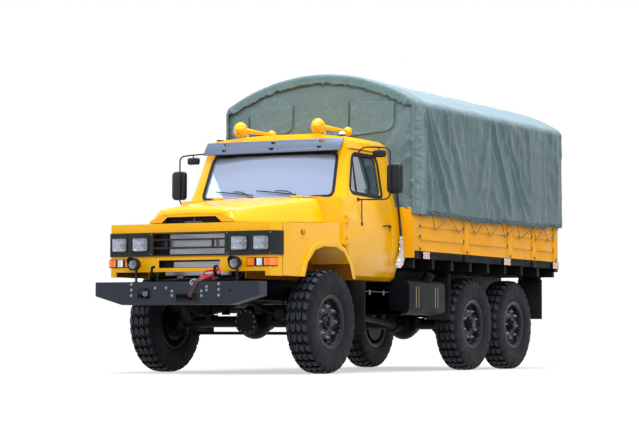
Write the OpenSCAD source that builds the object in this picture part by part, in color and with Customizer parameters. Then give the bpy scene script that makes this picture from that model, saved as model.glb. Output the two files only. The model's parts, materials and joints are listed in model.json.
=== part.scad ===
// Six-wheel military cargo truck with a canvas-covered load bed.
// Axes: +Z up, front of the truck towards -Y, its left side towards +X, origin on the
// ground at the middle of the outline. Stations run rearwards from the front axle.

/* [Wheels] */
// Outer diameter of a tyre
tyre_d = 1122; // [1000:1:1250]
// Width of a tyre
tyre_w = 300; // [260:1:340]
// Diameter of the rim flange
rim_d = 600; // [520:1:640]
// Width of the rim
rim_w = 250; // [220:1:280]
// Distance from the truck's middle to the middle of a tyre
half_track = 990; // [940:1:1040]
// Radius of a wheel spindle
spindle_r = 45; // [35:1:55]
// Radial running clearance of a hub on its spindle
hub_clearance = 0.08; // [0.02:0.01:0.1]

/* [Axles and frame] */
// Distance from the front axle to the middle axle
wheelbase = 3650; // [3400:1:3900]
// Distance from the middle axle to the rear axle
tandem_spacing = 1250; // [1190:1:1350]
// Radius of an axle tube
axle_tube_r = 62; // [50:1:75]
// Radius of the ball-shaped axle drive housing
diff_r = 190; // [160:1:210]
// Offset of the drive housings to the left
diff_x = 167; // [120:1:200]
// Distance from the middle of the truck to a steering pivot
kingpin_x = 800; // [770:1:815]
// Height of a frame rail
rail_h = 240; // [200:1:260]
// Width of a frame rail
rail_w = 80; // [70:1:95]
// Wall of a frame rail
rail_wall = 8; // [6:1:12]
// Height of the frame's top face above the ground
rail_top_z = 1030; // [1010:1:1034]
// Outside width over the two frame rails
frame_w = 860; // [800:1:880]
// Width of a leaf spring
leaf_w = 76; // [60:1:80]

/* [Front end] */
// From the front axle forwards to the bumper's face
bumper_reach = 1365; // [1300:1:1420]
// From the front axle forwards to the nose panel's face
nose_reach = 1100; // [1060:1:1120]
// Half width over the nose panel and wings
nose_half_w = 1055; // [1000:1:1075]
// Height of the bumper's top edge
bumper_top_z = 970; // [950:1:990]
// Height of the bumper's face
bumper_h = 243; // [200:1:260]
// Bottom of the lamp panel
lamp_panel_z = 1250; // [1240:1:1260]
// Height of the lamp panel
lamp_panel_h = 252; // [240:1:260]
// Height of the nose panel's top edge
nose_top_z = 1596; // [1580:1:1600]
// Thickness of the sheet-metal panels
panel_t = 25; // [15:1:30]
// How far the bonnet opens
bonnet_rear_st = 300; // [280:1:310]

/* [Cab] */
// Station of the firewall's front face
firewall_st = 360; // [350:1:380]
// Station of the cab's rear face
cab_rear_st = 1720; // [1680:1:1730]
// Height of the cab floor's underside
cab_floor_z = 1035; // [1035:1:1040]
// Height of the roof's crown
roof_z = 2690; // [2660:1:2730]
// Thickness of the cab's walls and doors
cab_wall = 46; // [35:1:50]
// Gap round a door
door_gap = 7; // [6:1:9]
// Half width of the windscreen opening at its lower edge
screen_half_w = 850; // [800:1:860]
// Backward lean of the windscreen
screen_lean = 22; // [18:1:24]
// Thickness of the glass
glass_t = 8; // [5:1:12]

/* [Load bed] */
// Half width over the side boards
bed_half_w = 1235; // [1200:1:1250]
// Station of the bed's front face
bed_front_st = 1790; // [1780:1:1840]
// Length of the bed
bed_l = 4280; // [4000:1:4400]
// Height of the bed floor's top face
bed_floor_z = 1372; // [1365:1:1390]
// Height of the side boards above the floor
board_h = 520; // [480:1:560]
// Thickness of the side boards
board_t = 42; // [30:1:50]

/* [Canvas] */
// Height of the canvas at its ridge
canvas_top_z = 3480; // [3300:1:3600]
// Height of the canvas's lower edge
canvas_hem_z = 1850; // [1800:1:1870]
// Thickness of the canvas with its folds
canvas_t = 14; // [8:1:20]
// How far the canvas stands out past the side boards
canvas_proud = 26; // [20:1:40]
// Radius of the canvas's top arc
canvas_top_r = 2400; // [2100:1:2800]
// Radius of the canvas's shoulders
canvas_corner_r = 300; // [240:1:360]

/* [Side equipment] */
// Length of the fuel tank
tank_l = 950; // [800:1:960]
// Height of the fuel tank
tank_h = 395; // [340:1:420]
// Depth of the fuel tank across the truck
tank_depth = 560; // [480:1:580]

/* [Hidden] */

// Fineness of round shapes
$fn = 48;
// Small overlap that keeps joined shapes one solid
eps = 1;
// Gap between pieces on different bodies that nearly touch
seat_gap = 0.3;

axle_z = tyre_d / 2;
middle_st = wheelbase;
rear_st = wheelbase + tandem_spacing;
bed_rear_st = bed_front_st + bed_l;
// The strap hangs just in front of the bumper; the pintle's tip ends behind the bed.
strap_proud = 17;
pintle_reach = 103;
front_end = -bumper_reach - strap_proud;
rear_end = bed_rear_st + pintle_reach;
front_axle_y = -(front_end + rear_end) / 2;

body_paint = "#f5b400";
black_paint = "#1b1c1e";
slate_paint = "#3b4350";
canvas_green = "#5f7a76";
rubber_black = "#161617";

// Places a shape that is laid out by stations in the truck's own frame.
module at_axle() translate([0, front_axle_y, 0]) children();
// Extrudes an outline of (station, height) across the truck.
module along_x(x0, x1)
  translate([x0, 0, 0]) rotate([90, 0, 90]) linear_extrude(x1 - x0) children();
// Extrudes an outline of (x, height) along the truck.
module along_y(y0, y1)
  translate([0, y1, 0]) rotate([90, 0, 0]) linear_extrude(y1 - y0) children();
// Extrudes an outline of (x, station) upwards.
module along_z(z0, z1) translate([0, 0, z0]) linear_extrude(z1 - z0) children();
module both_sides() {
  children();
  mirror([1, 0, 0]) children();
}
// A box given by its low and high corners.
module block(a, b) translate(a) cube(b - a);
// A straight round bar between two points.
module rod(a, b, r) {
  d = b - a;
  translate(a) rotate([0, acos(d[2] / norm(d)), atan2(d[1], d[0])])
    cylinder(h = norm(d), r = r);
}
// A disc or bar whose axis lies across the truck, from x0 to x1.
module disc_x(x0, x1, r) translate([x0, 0, 0]) rotate([0, 90, 0]) cylinder(h = x1 - x0, r = r);

// A bent round bar through a list of points, with a slightly thicker weld at each bend.
module bent_rod(pts, r) {
  for (i = [0:len(pts) - 2]) rod(pts[i], pts[i + 1], r);
  for (i = [1:len(pts) - 2]) translate(pts[i]) sphere(r = r + 1, $fn = 32);
}

function unit(v) = v / norm(v);
function reversed(list) = [for (i = [len(list) - 1:-1:0]) list[i]];
// A half outline and its mirror image; a point on the middle line is used once.
function mirrored(list) = concat(list, [for (p = reversed(list)) if (p[0] != 0) [-p[0], p[1]]]);
// The arc that rounds corner b between a and c.
function corner_arc(a, b, c, r, n) =
  let (u = unit(a - b), v = unit(c - b), half = acos(u * v) / 2,
       m = b + unit(u + v) * r / sin(half), s = b + u * r / tan(half), e = b + v * r / tan(half),
       a0 = atan2(s[1] - m[1], s[0] - m[0]), a1 = atan2(e[1] - m[1], e[0] - m[0]),
       turn = (a1 - a0 + 540) % 360 - 180)
  [for (i = [0:n]) m + r * [cos(a0 + turn * i / n), sin(a0 + turn * i / n)]];
// An outline with every corner rounded.
function rounded(pts, r, n = 4) =
  [for (i = [0:len(pts) - 1])
    each corner_arc(pts[(i + len(pts) - 1) % len(pts)], pts[i], pts[(i + 1) % len(pts)], r, n)];

// ---------------------------------------------------------------- wheels

sidewall_x = tyre_w / 2;
bead_x = rim_w / 2 - 17;
flange_x = rim_w / 2;
flange_r = rim_d / 2;
bead_r = flange_r - 38;
tyre_r = tyre_d / 2;
flange_lip = 11;

module tyre_solid() {
  fit = 0.4;
  profile = [[bead_r + fit, bead_x - fit], [flange_r + fit, flange_x - flange_lip - fit],
    [flange_r + 30, sidewall_x - 15], [flange_r + 100, sidewall_x - 1],
    [flange_r + 140, sidewall_x], [tyre_r - 61, sidewall_x - 10],
    [tyre_r - 21, sidewall_x - 22], [tyre_r, sidewall_x - 42]];
  rotate([0, 90, 0]) rotate_extrude($fn = 96)
    polygon(concat([for (p = profile) p], [for (p = reversed(profile)) [p[0], -p[1]]]));
}

drum_r = 205;
drum_inner_x = -100;
hub_r = 95;
hub_end_x = 122;
disc_x0 = 58;
disc_t = 12;

// A wheel lies with its outer side towards +X.
module wheel_solid() {
  well_r = bead_r - 26;
  rim_t = 12;
  outer = [[flange_r, flange_x], [flange_r, flange_x - flange_lip], [bead_r, bead_x],
    [bead_r - 4, 40], [well_r, 20], [well_r, -40], [bead_r - 4, -60], [bead_r, -bead_x],
    [flange_r, flange_lip - flange_x], [flange_r, -flange_x]];
  inner = [[flange_r - rim_t, -flange_x], [bead_r - rim_t, -bead_x - 4],
    [bead_r - rim_t - 4, -55], [well_r - rim_t, -35], [well_r - rim_t, 15],
    [bead_r - rim_t - 4, 35], [bead_r - rim_t, bead_x + 4], [flange_r - rim_t, flange_x]];
  dish_r = bead_r - rim_t - 2;
  difference() {
    union() {
      rotate([0, 90, 0]) rotate_extrude($fn = 96) polygon(concat(outer, inner));
      rotate([0, 90, 0]) rotate_extrude($fn = 96) polygon([[dish_r, 52], [dish_r, 40],
        [200, 36], [168, disc_x0], [hub_r - eps, disc_x0], [hub_r - eps, disc_x0 + disc_t],
        [172, disc_x0 + disc_t], [205, 48]]);
      disc_x(drum_inner_x, disc_x0 + eps, hub_r);
      difference() {
        disc_x(drum_inner_x, 0, drum_r);
        disc_x(drum_inner_x - eps, -15, drum_r - 15);
      }
      disc_x(disc_x0, 100, 82);
      disc_x(100 - eps, hub_end_x, 58);
    }
    disc_x(drum_inner_x - eps, disc_x0 + 20, spindle_r + hub_clearance);
    for (a = [0, 90, 180, 270]) rotate([a, 0, 0]) {
      block([20, -34, 192], [70, 34, 220]);
      for (s = [-1, 1]) translate([20, s * 34, 206]) rotate([0, 90, 0]) cylinder(h = 50, r = 14);
    }
  }
}

// Puts a shape that faces +X at a wheel's place; side is 1 on the left and -1 on the right.
module at_wheel(side, st) at_axle()
  if (side > 0) translate([half_track, st, axle_z]) children();
  else translate([-half_track, st, axle_z]) mirror([1, 0, 0]) children();

module left_front_tyre() color(rubber_black) at_wheel(1, 0) tyre_solid();
module right_front_tyre() color(rubber_black) at_wheel(-1, 0) tyre_solid();
module left_middle_tyre() color(rubber_black) at_wheel(1, middle_st) tyre_solid();
module right_middle_tyre() color(rubber_black) at_wheel(-1, middle_st) tyre_solid();
module left_rear_tyre() color(rubber_black) at_wheel(1, rear_st) tyre_solid();
module right_rear_tyre() color(rubber_black) at_wheel(-1, rear_st) tyre_solid();
module left_front_wheel() color(black_paint) at_wheel(1, 0) wheel_solid();
module right_front_wheel() color(black_paint) at_wheel(-1, 0) wheel_solid();
module left_middle_wheel() color(black_paint) at_wheel(1, middle_st) wheel_solid();
module right_middle_wheel() color(black_paint) at_wheel(-1, middle_st) wheel_solid();
module left_rear_wheel() color(black_paint) at_wheel(1, rear_st) wheel_solid();
module right_rear_wheel() color(black_paint) at_wheel(-1, rear_st) wheel_solid();

// ---------------------------------------------------------------- axles and steering

// The spindle ends a little short of the bottom of the hub's bore.
spindle_end_x = half_track + disc_x0 + 10;
plate_gap = 6;
plate_x1 = half_track + drum_inner_x - plate_gap;
plate_t = 10;
ball_r = 90;
cup_r = 116;
cup_gap = 0.6;

module drive_housing() {
  nose_r = 95;
  translate([diff_x, 0, axle_z]) {
    rotate([0, 0, 45]) sphere(r = diff_r, $fn = 64);
    rotate([90, 0, 0]) cylinder(h = diff_r + 12, r = diff_r * 0.72);
    rotate([-90, 0, 0]) cylinder(h = pinion_y, r = nose_r);
  }
}
// How far a drive housing's pinion flange reaches from the axle's middle.
pinion_y = 300;

module spring_seats() both_sides() block([spring_x0, -75, axle_z], [spring_x1, 75, spring_seat_z]);

module front_axle() color(black_paint) at_axle() {
  spring_seats();
  translate([0, 0, axle_z]) disc_x(-kingpin_x, kingpin_x, axle_tube_r);
  both_sides() translate([kingpin_x, 0, axle_z]) rotate([0, 0, 90]) sphere(r = ball_r, $fn = 64);
  drive_housing();
}

module driven_axle(st) color(black_paint) at_axle() translate([0, st, 0]) {
  translate([0, 0, axle_z]) {
    disc_x(-plate_x1, plate_x1, axle_tube_r);
    both_sides() {
      disc_x(plate_x1 - plate_t, plate_x1, drum_r);
      disc_x(plate_x1 - eps, spindle_end_x, spindle_r);
    }
  }
  mirror([0, 1, 0]) drive_housing();
  spring_seats();
}
module middle_axle() {
  driven_axle(middle_st);
  // The through shaft's rear flange drives the rear axle.
  color(black_paint) at_axle() translate([diff_x, middle_st, axle_z]) rotate([-90, 0, 0])
    cylinder(h = through_y, r = 60);
}
through_y = 260;
module rear_axle() driven_axle(rear_st);

// The steering arm's eye lies below the end of the tie rod.
arm_x = 60;
arm_y = 220;
arm_z0 = axle_z - 160;
arm_z1 = axle_z - 143;
module knuckle_solid() translate([kingpin_x, 0, axle_z]) {
  cup_in = ball_r + cup_gap;
  end = plate_x1 - kingpin_x;
  n = 8;
  // The cup's hollow is turned in short cones that stay clear of the ball.
  hollow_r = cup_in / cos(45 / n);
  hollow = [for (i = [0:n]) let (a = 90 * i / n) hollow_r * [sin(a), cos(a)]];
  rotate([0, 90, 0]) rotate_extrude($fn = 96) polygon(concat(hollow,
    [[hollow[n][0], cup_open_x], [cup_r, cup_open_x], [cup_r, 30], [92, 70], [92, end - plate_t],
     [drum_r, end - plate_t], [drum_r, end], [spindle_r, end],
     [spindle_r, spindle_end_x - kingpin_x], [0, spindle_end_x - kingpin_x]]));
  translate([0, 0, -axle_z]) along_z(arm_z0, arm_z1)
    polygon(rounded([[-30, -50], [50, -50], [50, 60], [-arm_x + 30, arm_y + 30],
      [-arm_x - 30, arm_y + 30], [-arm_x - 30, arm_y - 30]], 12, 3));
  // A neck joins the steering arm to the cup.
  translate([0, 0, arm_z0 - axle_z]) cylinder(h = axle_z - arm_z0 - hollow_r - eps, r = 40);
}
cup_open_x = -20;
module left_knuckle() color(black_paint) at_axle() knuckle_solid();
module right_knuckle() color(black_paint) at_axle() mirror([1, 0, 0]) knuckle_solid();

rod_r = 17;
module tie_rod() color(black_paint) at_axle() {
  end_x = kingpin_x - arm_x;
  rod_z = arm_z1 + seat_gap + rod_r;
  translate([0, arm_y, rod_z]) disc_x(-end_x, end_x, rod_r);
  both_sides() translate([end_x, arm_y, arm_z1 + seat_gap]) cylinder(h = 46, r = 27);
}

// ---------------------------------------------------------------- springs

frame_half = frame_w / 2;
rail_z0 = rail_top_z - rail_h;
spring_x0 = frame_half - rail_w / 2 - leaf_w / 2;
spring_x1 = spring_x0 + leaf_w;
spring_seat_z = axle_z + axle_tube_r + 14;
front_spring_half = 700;
leaf_end_t = 18;
leaf_pack_t = 92;
bogie_st = middle_st + tandem_spacing / 2;

// A bowed spring pack: rise lifts its ends above (or, when negative, below) its middle.
module leaf_pack(half, rise, z_mid, from_top) {
  n = 10;
  function bow(s) = rise * s * s;
  function thick(s) = leaf_end_t + (leaf_pack_t - leaf_end_t) * (1 - abs(s));
  master = [for (i = [-n:n]) [half * i / n, z_mid + bow(i / n)]];
  other = [for (i = [n:-1:-n])
    [half * i / n, z_mid + bow(i / n) + (from_top ? -1 : 1) * thick(i / n)]];
  along_x(spring_x0, spring_x1) polygon(concat(master, other));
}
spring_top_z = spring_seat_z + leaf_pack_t;
module leaf_springs() color(black_paint) at_axle() {
  both_sides() {
    leaf_pack(front_spring_half, front_rise, spring_top_z, true);
    translate([0, bogie_st, 0])
      leaf_pack(tandem_spacing / 2 + 70, bogie_drop, bogie_spring_z, false);
    translate([0, bogie_st, trunnion_z])
      disc_x(bracket_x1 + seat_gap, spring_x1 + 70, trunnion_r);
  }
}
front_rise = rail_z0 - spring_top_z - 12;
trunnion_z = 615;
trunnion_r = 62;
// The bracket that carries the trunnion stands just inside the spring.
bracket_x1 = spring_x0 - eps;
bogie_spring_z = trunnion_z + trunnion_r - eps;
// The ends of the bogie springs rest on the axles' seats.
bogie_drop = spring_seat_z + seat_gap - bogie_spring_z;

// ---------------------------------------------------------------- frame

rail_front = -bumper_reach + 165;
rail_rear = bed_rear_st - 20;
cross_st = [-910, 560, 1560, 2760, bogie_st, rear_st + 500, rail_rear - 80];
// The crossmembers lie high in the frame, above the drive shafts.
cross_z0 = rail_top_z - 80;
cross_z1 = rail_top_z - 30;
engine_beam_st = -640;
engine_z0 = rail_z0 + 70;

module rail() difference() {
  block([frame_half - rail_w, rail_front, rail_z0], [frame_half, rail_rear, rail_top_z]);
  block([frame_half - rail_w - eps, rail_front - eps, rail_z0 + rail_wall],
    [frame_half - rail_wall, rail_rear + eps, rail_top_z - rail_wall]);
}
module hanger(st, bottom) block([spring_x0, st - 45, bottom], [spring_x1, st + 45, rail_z0 + eps]);
module cross_member(st, z0, z1) block([-frame_half + rail_wall, st - 45, z0],
  [frame_half - rail_wall, st + 45, z1]);
module tow_hook() {
  hook_r = 14;
  x = frame_half - rail_w / 2;
  pts = [[x, rail_front + 90, rail_top_z + 10], [x, rail_front + 10, rail_top_z + 15],
    [x, rail_front - 25, rail_top_z + 50], [x, rail_front - 15, rail_top_z + 95],
    [x, rail_front + 25, rail_top_z + 105]];
  bent_rod(pts, hook_r);
}
module chassis_frame() color(black_paint) at_axle() {
  both_sides() {
    rail();
    for (st = [-front_spring_half, front_spring_half]) hanger(st, rail_z0 - 12);
    block([bracket_x1 - 40, bogie_st - 110, trunnion_z - 60], [bracket_x1, bogie_st + 110, cross_z0]);
    // Pads that carry the cab.
    for (st = [firewall_st + 100, cab_rear_st - 100])
      block([frame_half - rail_w + 10, st - 40, rail_top_z - eps], [frame_half - 10, st + 40, cab_floor_z]);
    tow_hook();
  }
}
module cross_members() color(black_paint) at_axle() {
  for (st = cross_st) cross_member(st, cross_z0, cross_z1);
  cross_member(engine_beam_st, engine_z0 - 50, engine_z0);
  // Trunnion beam and rear tow pintle.
  block([-bracket_x1 + 40, bogie_st - 50, trunnion_z + 35], [bracket_x1 - 40, bogie_st + 50, trunnion_z + 105]);
  translate([0, rail_rear - 40, pintle_z]) rotate([-90, 0, 0]) {
    cylinder(h = rear_end - rail_rear + 40, r = pintle_r);
    cylinder(h = 62, r = 90);
  }
}
pintle_r = 32;
pintle_z = rail_top_z - rail_h / 2;

// ---------------------------------------------------------------- driveline

engine_rear = firewall_st - 70;
engine_half_w = 290;
module engine() color("#3a3d40") at_axle()
  block([-engine_half_w, -760, engine_z0], [engine_half_w, engine_rear, engine_z0 + 570]);
module radiator() color("#8c9094") at_axle() {
  block([-400, -940, 1045], [400, -880, 1515]);
  // Feet stand on the front crossmember.
  both_sides() block([180, -930, cross_z1], [260, -890, 1045 + eps]);
}

transfer_st = 1750;
transfer_z = axle_z + 130;
// A drive shaft from a front flange to a rear flange, both square to the truck's length.
module shaft(a, b) {
  flange_t = 36;
  rod(a + [0, flange_t / 2, 0], b - [0, flange_t / 2, 0], 38);
  translate(a) rotate([-90, 0, 0]) cylinder(h = flange_t, r = 62);
  translate(b) rotate([90, 0, 0]) cylinder(h = flange_t, r = 62);
}
module driveline() color("#2a2c2e") at_axle() {
  gearbox_end = 1010;
  shaft_z = rail_z0 + 90;
  block([-190, engine_rear, rail_z0 - 30], [190, 780, cross_z0 - 10]);
  translate([0, 780 - eps, shaft_z]) rotate([-90, 0, 0]) cylinder(h = gearbox_end - 780, r = 75);
  shaft([0, gearbox_end - eps, shaft_z], [0, transfer_st - 150 + eps, shaft_z]);
  block([-150, transfer_st - 150, transfer_z - 100], [290, transfer_st + 170, cross_z0 - 10]);
  // Mounting arms reach the frame rails.
  block([-frame_half + rail_wall, transfer_st - 40, rail_z0 + 90],
    [frame_half - rail_wall, transfer_st + 40, rail_z0 + 150]);
  shaft([diff_x, pinion_y + seat_gap, axle_z], [diff_x, transfer_st - 150 + eps, transfer_z]);
  shaft([diff_x, transfer_st + 170 - eps, transfer_z], [diff_x, middle_st - pinion_y - seat_gap, axle_z]);
  shaft([diff_x, middle_st + through_y + seat_gap, axle_z], [diff_x, rear_st - pinion_y - seat_gap, axle_z]);
}
module exhaust() color("#4a4745") at_axle() {
  muffler_x = -620;
  muffler_st = 1650;
  muffler_z = rail_z0 - 60;
  pipe_r = 34;
  translate([muffler_x, muffler_st, muffler_z]) rotate([-90, 0, 0]) cylinder(h = 560, r = 105);
  // The pipe leaves the engine's side, crosses over the frame rail and runs back beside it.
  beside_x = -frame_half - pipe_r - 16;
  bent_rod([[-engine_half_w - seat_gap, 60, engine_z0 + 230], [beside_x, 60, engine_z0 + 230],
    [beside_x, 110, rail_z0 - 30], [beside_x, 800, rail_z0 - 30],
    [muffler_x, muffler_st + 20, muffler_z]], pipe_r);
  rod([muffler_x, muffler_st + 480, muffler_z], [-1000, muffler_st + 590, muffler_z - 20], pipe_r);
  block([muffler_x - 20, 1800, muffler_z + 80], [-frame_half - seat_gap, 1840, rail_z0 + 60]);
}

// ---------------------------------------------------------------- bumper and winch

bumper_z0 = bumper_top_z - bumper_h;
bumper_half_w = 1011;
bumper_depth = 165;
bumper_plate = 9;
function bumper_outline(inset) = mirrored([[bumper_half_w - inset, bumper_top_z - inset],
  [bumper_half_w - inset, bumper_z0 + 94 + inset * 0.7], [672 - inset * 0.3, bumper_z0 + inset]]);
slot_x0 = 6;
slot_x1 = 282;
slot_z0 = 760;
slot_z1 = 845;
recovery_x = 664;
recovery_z = 872;
recovery_r = 12;
module bumper() color(slate_paint) at_axle() difference() {
  along_y(-bumper_reach, -bumper_reach + bumper_depth) polygon(bumper_outline(0));
  along_y(-bumper_reach + bumper_plate, -bumper_reach + bumper_depth + eps)
    polygon(bumper_outline(bumper_plate));
  along_y(-bumper_reach - eps, -bumper_reach + bumper_plate + eps) {
    polygon(rounded([[slot_x0, slot_z0], [slot_x1, slot_z0], [slot_x1, slot_z1], [slot_x0, slot_z1]], 18));
    polygon(rounded([[-474, 788], [-318, 788], [-318, 903], [-474, 903]], 22));
  }
  translate([recovery_x, -bumper_reach - eps, recovery_z]) rotate([-90, 0, 0])
    cylinder(h = bumper_plate + 2 * eps, r = recovery_r);
}

// The winch sits behind the bumper on a tray between the rails; its strap passes the
// slot, and its hook hangs in the left tow hook.
module winch() {
  drum_x0 = slot_x0;
  drum_x1 = slot_x1;
  drum_st = -bumper_reach + 330;
  drum_z = rail_z0 + 60;
  color(black_paint) at_axle() {
    translate([0, drum_st, drum_z]) {
      disc_x(drum_x0 - 12, drum_x1 + 12, 55);
      for (x = [drum_x0 - 12, drum_x1]) disc_x(x, x + 12, 92);
      disc_x(-250, drum_x0 - 12 + eps, 84);
      disc_x(drum_x1 + 12 - eps, frame_half - rail_wall, 40);
    }
    block([-frame_half + rail_wall, drum_st - 40, rail_z0 + 12],
      [-240, drum_st + 40, drum_z + 60]);
  }
  color("#9b8a6c") at_axle() {
    strap_r = 7;
    strap_st = front_end + strap_r + 1;
    strap = [[144, drum_st - 40, drum_z + 40], [160, -bumper_reach + 40, 812],
      [172, strap_st, 815], [262, strap_st, bumper_top_z - 8], [285, strap_st + 2, bumper_top_z + 16],
      [320, strap_st + 40, bumper_top_z + 30], [340, rail_front - 60, 1050]];
    bent_rod(strap, strap_r);
  }
  color("#c8102e") at_axle() rod([340, rail_front - 60, 1050], [frame_half - rail_w / 2 - 32, rail_front - 30, 1110], 16);
}

// ---------------------------------------------------------------- nose

nose_corner = 150;
corner_x = nose_half_w - 62;
wing_front = -nose_reach + nose_corner;
// The nose's plan outline from the right end to the left end, moved outwards by an amount.
function nose_path(out) = let (half = [[corner_x + out * 0.4, -nose_reach - out],
    [nose_half_w - 25 + out, wing_front - 90 - out * 0.5], [nose_half_w + out, wing_front]])
  concat([for (p = reversed(half)) [-p[0], p[1]]], half);
module nose_strip(proud, depth) polygon(concat(nose_path(proud), reversed(nose_path(-depth))));
opening_half = corner_x - 5;
indicator_z0 = 1130;
indicator_z1 = 1224;
indicator_x = 706;
module nose_panel() color(body_paint) at_axle() difference() {
  union() {
    along_z(valance_z - 50, nose_top_z) nose_strip(0, panel_t);
    // Top shelf that runs under the bonnet's lip.
    along_z(nose_top_z - panel_t, nose_top_z) {
      polygon(nose_path(-eps));
      polygon([[-bonnet_front_w - 20, wing_front - eps], [bonnet_front_w + 20, wing_front - eps],
        [bonnet_front_w + 20, wing_front + 60], [-bonnet_front_w - 20, wing_front + 60]]);
    }
  }
  block([-opening_half, -nose_reach - eps, lamp_panel_z + 12],
    [opening_half, -nose_reach + 90, lamp_panel_z + lamp_panel_h - 12]);
  block([-380, -nose_reach - eps, 1123], [380, -nose_reach + 90, 1205]);
  block([-930, -nose_reach - eps, valance_z - 51], [930, -nose_reach + 90, valance_z]);
}
valance_z = 1081;

lamp_x = [[511, 722], [781, 985]];
lamp_z0 = 1298;
lamp_z1 = 1453;
module grille() color(black_paint) at_axle() {
  difference() {
    along_z(lamp_panel_z, lamp_panel_z + lamp_panel_h) nose_strip(grille_proud, 0);
    both_sides() for (l = lamp_x) along_y(-nose_reach - 20, -nose_reach + 60)
      polygon(rounded([[l[0], lamp_z0], [l[1], lamp_z0], [l[1], lamp_z1], [l[0], lamp_z1]], 22));
    block([-445, -nose_reach - 20, lamp_panel_z + 14], [445, -nose_reach + 60, lamp_panel_z + lamp_panel_h - 10]);
  }
  for (z = [1335, 1425]) block([-446, -nose_reach - grille_proud, z - 9], [446, -nose_reach + 12, z + 9]);
  for (x = [-290, 290]) block([x - 14, -nose_reach - 1, 1335], [x + 14, -nose_reach + 12, 1425]);
}
// The lamp panel stands this far in front of the nose panel, which backs it.
grille_proud = 14;

module fog_lamp() translate([628, -nose_reach - 90, 1165]) {
  sphere(r = 66);
  rotate([90, 0, 0]) cylinder(h = 62, r = 60);
  rod([0, -30, 0], [0, -30, bumper_top_z - 1165], 14);
}
module lamps() color("#e8ecef") at_axle() {
  both_sides() for (l = lamp_x) along_y(-nose_reach - 8, -nose_reach + 52)
    polygon(rounded([[l[0], lamp_z0], [l[1], lamp_z0], [l[1], lamp_z1], [l[0], lamp_z1]], 22));
  color(black_paint) both_sides() fog_lamp();
}
module signal_lamps() color("#f07818") at_axle() {
  both_sides() {
    intersection() {
      along_z(indicator_z0, indicator_z1) nose_strip(10, 0);
      block([indicator_x, -nose_reach - 50, 0], [nose_half_w - 15, wing_front - 60, 2000]);
    }
    block([nose_half_w, -555, 1492], [nose_half_w + 22, -495, 1524]);
    // Tail lamps on the back of the last cross beam.
    block([800, beam_st(beam_count - 1) + beam_w / 2 + seat_gap, 1205], [1010, bed_rear_st + 20, 1290]);
  }
}

// ---------------------------------------------------------------- wings and bonnet

arch_st = 40;
arch_half = 495;
arch_top = 1372;
wing_bottom = 1035;
wing_top_z = nose_top_z + 34;
// The wheel arch's outline, grown by an amount.
function arch(grow) = [[arch_st - arch_half - 70 - grow, wing_bottom - 20],
  [arch_st - arch_half - grow, 1185], [arch_st - 330 - grow * 0.7, 1325 + grow * 0.7],
  [arch_st - 130, arch_top + grow], [arch_st + 150, arch_top + grow],
  [arch_st + 320 + grow * 0.7, 1325 + grow * 0.7], [arch_st + 455 + grow, 1200],
  [arch_st + 540 + grow, wing_bottom - 20]];
flare = 62;
flare_proud = 26;
liner_t = 14;
inner_wing_x = 600;
// The arch's outline above a height.
module arch_above(grow, z) intersection() {
  polygon(arch(grow));
  translate([-2000, z]) square([4000, 1000]);
}
module wing() {
  rear = firewall_st - seat_gap;
  side = [[wing_front, wing_bottom], [wing_front, nose_top_z - 4], [-750, nose_top_z],
    [250, wing_top_z + 8], [rear, wing_top_z + 14], [rear, wing_bottom]];
  difference() {
    union() {
      difference() {
        along_x(inner_wing_x, nose_half_w) polygon(side);
        along_x(inner_wing_x - eps, nose_half_w - panel_t) polygon([[wing_front - eps, 900],
          [wing_front - eps, nose_top_z - 4 - panel_t], [-750, nose_top_z - panel_t],
          [250, wing_top_z + 8 - panel_t], [rear + 400, wing_top_z + 20 - panel_t], [rear + 400, 900]]);
      }
      // Flared lip of the arch, which goes on behind the firewall below the door's front edge.
      along_x(nose_half_w - panel_t, nose_half_w + flare_proud) arch_above(flare, wing_bottom);
      // Wheel-house liner and inner wing.
      along_x(inner_wing_x, nose_half_w - eps) arch_above(liner_t, wing_bottom);
      block([inner_wing_x, wing_front, wing_bottom - 25],
        [inner_wing_x + 10, rear, nose_top_z - panel_t + 2]);
    }
    along_x(inner_wing_x + 10, nose_half_w + 100) polygon(arch(0));
    // The bonnet's side drops inside the wing.
    along_z(nose_top_z - panel_t - 5, 1800) polygon([[0, -2000],
      [bonnet_edge_x(-2000) + 8, -2000], [bonnet_edge_x(1000) + 8, 1000], [0, 1000]]);
  }
}
module wings() color(body_paint) at_axle() both_sides() wing();

bonnet_front_w = 530;
bonnet_rear_w = 862;
bonnet_lip_z = nose_top_z + 8;
bonnet_front_st = -nose_reach + 40;
bonnet_rear_top = 1945;
bonnet_front_top = 1752;
function bonnet_edge_x(st) = bonnet_front_w + (bonnet_rear_w - bonnet_front_w)
  * (st - bonnet_front_st) / (bonnet_rear_st - bonnet_front_st);
// A cross section of the bonnet: edge half width, shoulder half width, edge, shoulder and crown heights.
module bonnet_section(st, edge, shoulder, z_edge, z_shoulder, z_crown, inset)
  along_y(st, st + eps) polygon(mirrored([[0, z_crown - inset],
    [(shoulder - inset) * 0.6, z_crown - inset - 7], [shoulder - inset * 1.2, z_shoulder - inset],
    [edge - inset, z_edge - (inset > 0 ? 60 : 0)]]));
module bonnet_body(inset) hull() {
  bonnet_section(bonnet_front_st + inset, bonnet_front_w, 380, bonnet_lip_z, 1690, 1705, inset);
  bonnet_section(bonnet_front_st + 70, bonnet_front_w + 20, 440, bonnet_lip_z, bonnet_front_top, 1775, inset);
  bonnet_section(bonnet_rear_st - inset - eps, bonnet_rear_w, 740, bonnet_lip_z + 48, 1908, bonnet_rear_top, inset);
}
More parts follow.
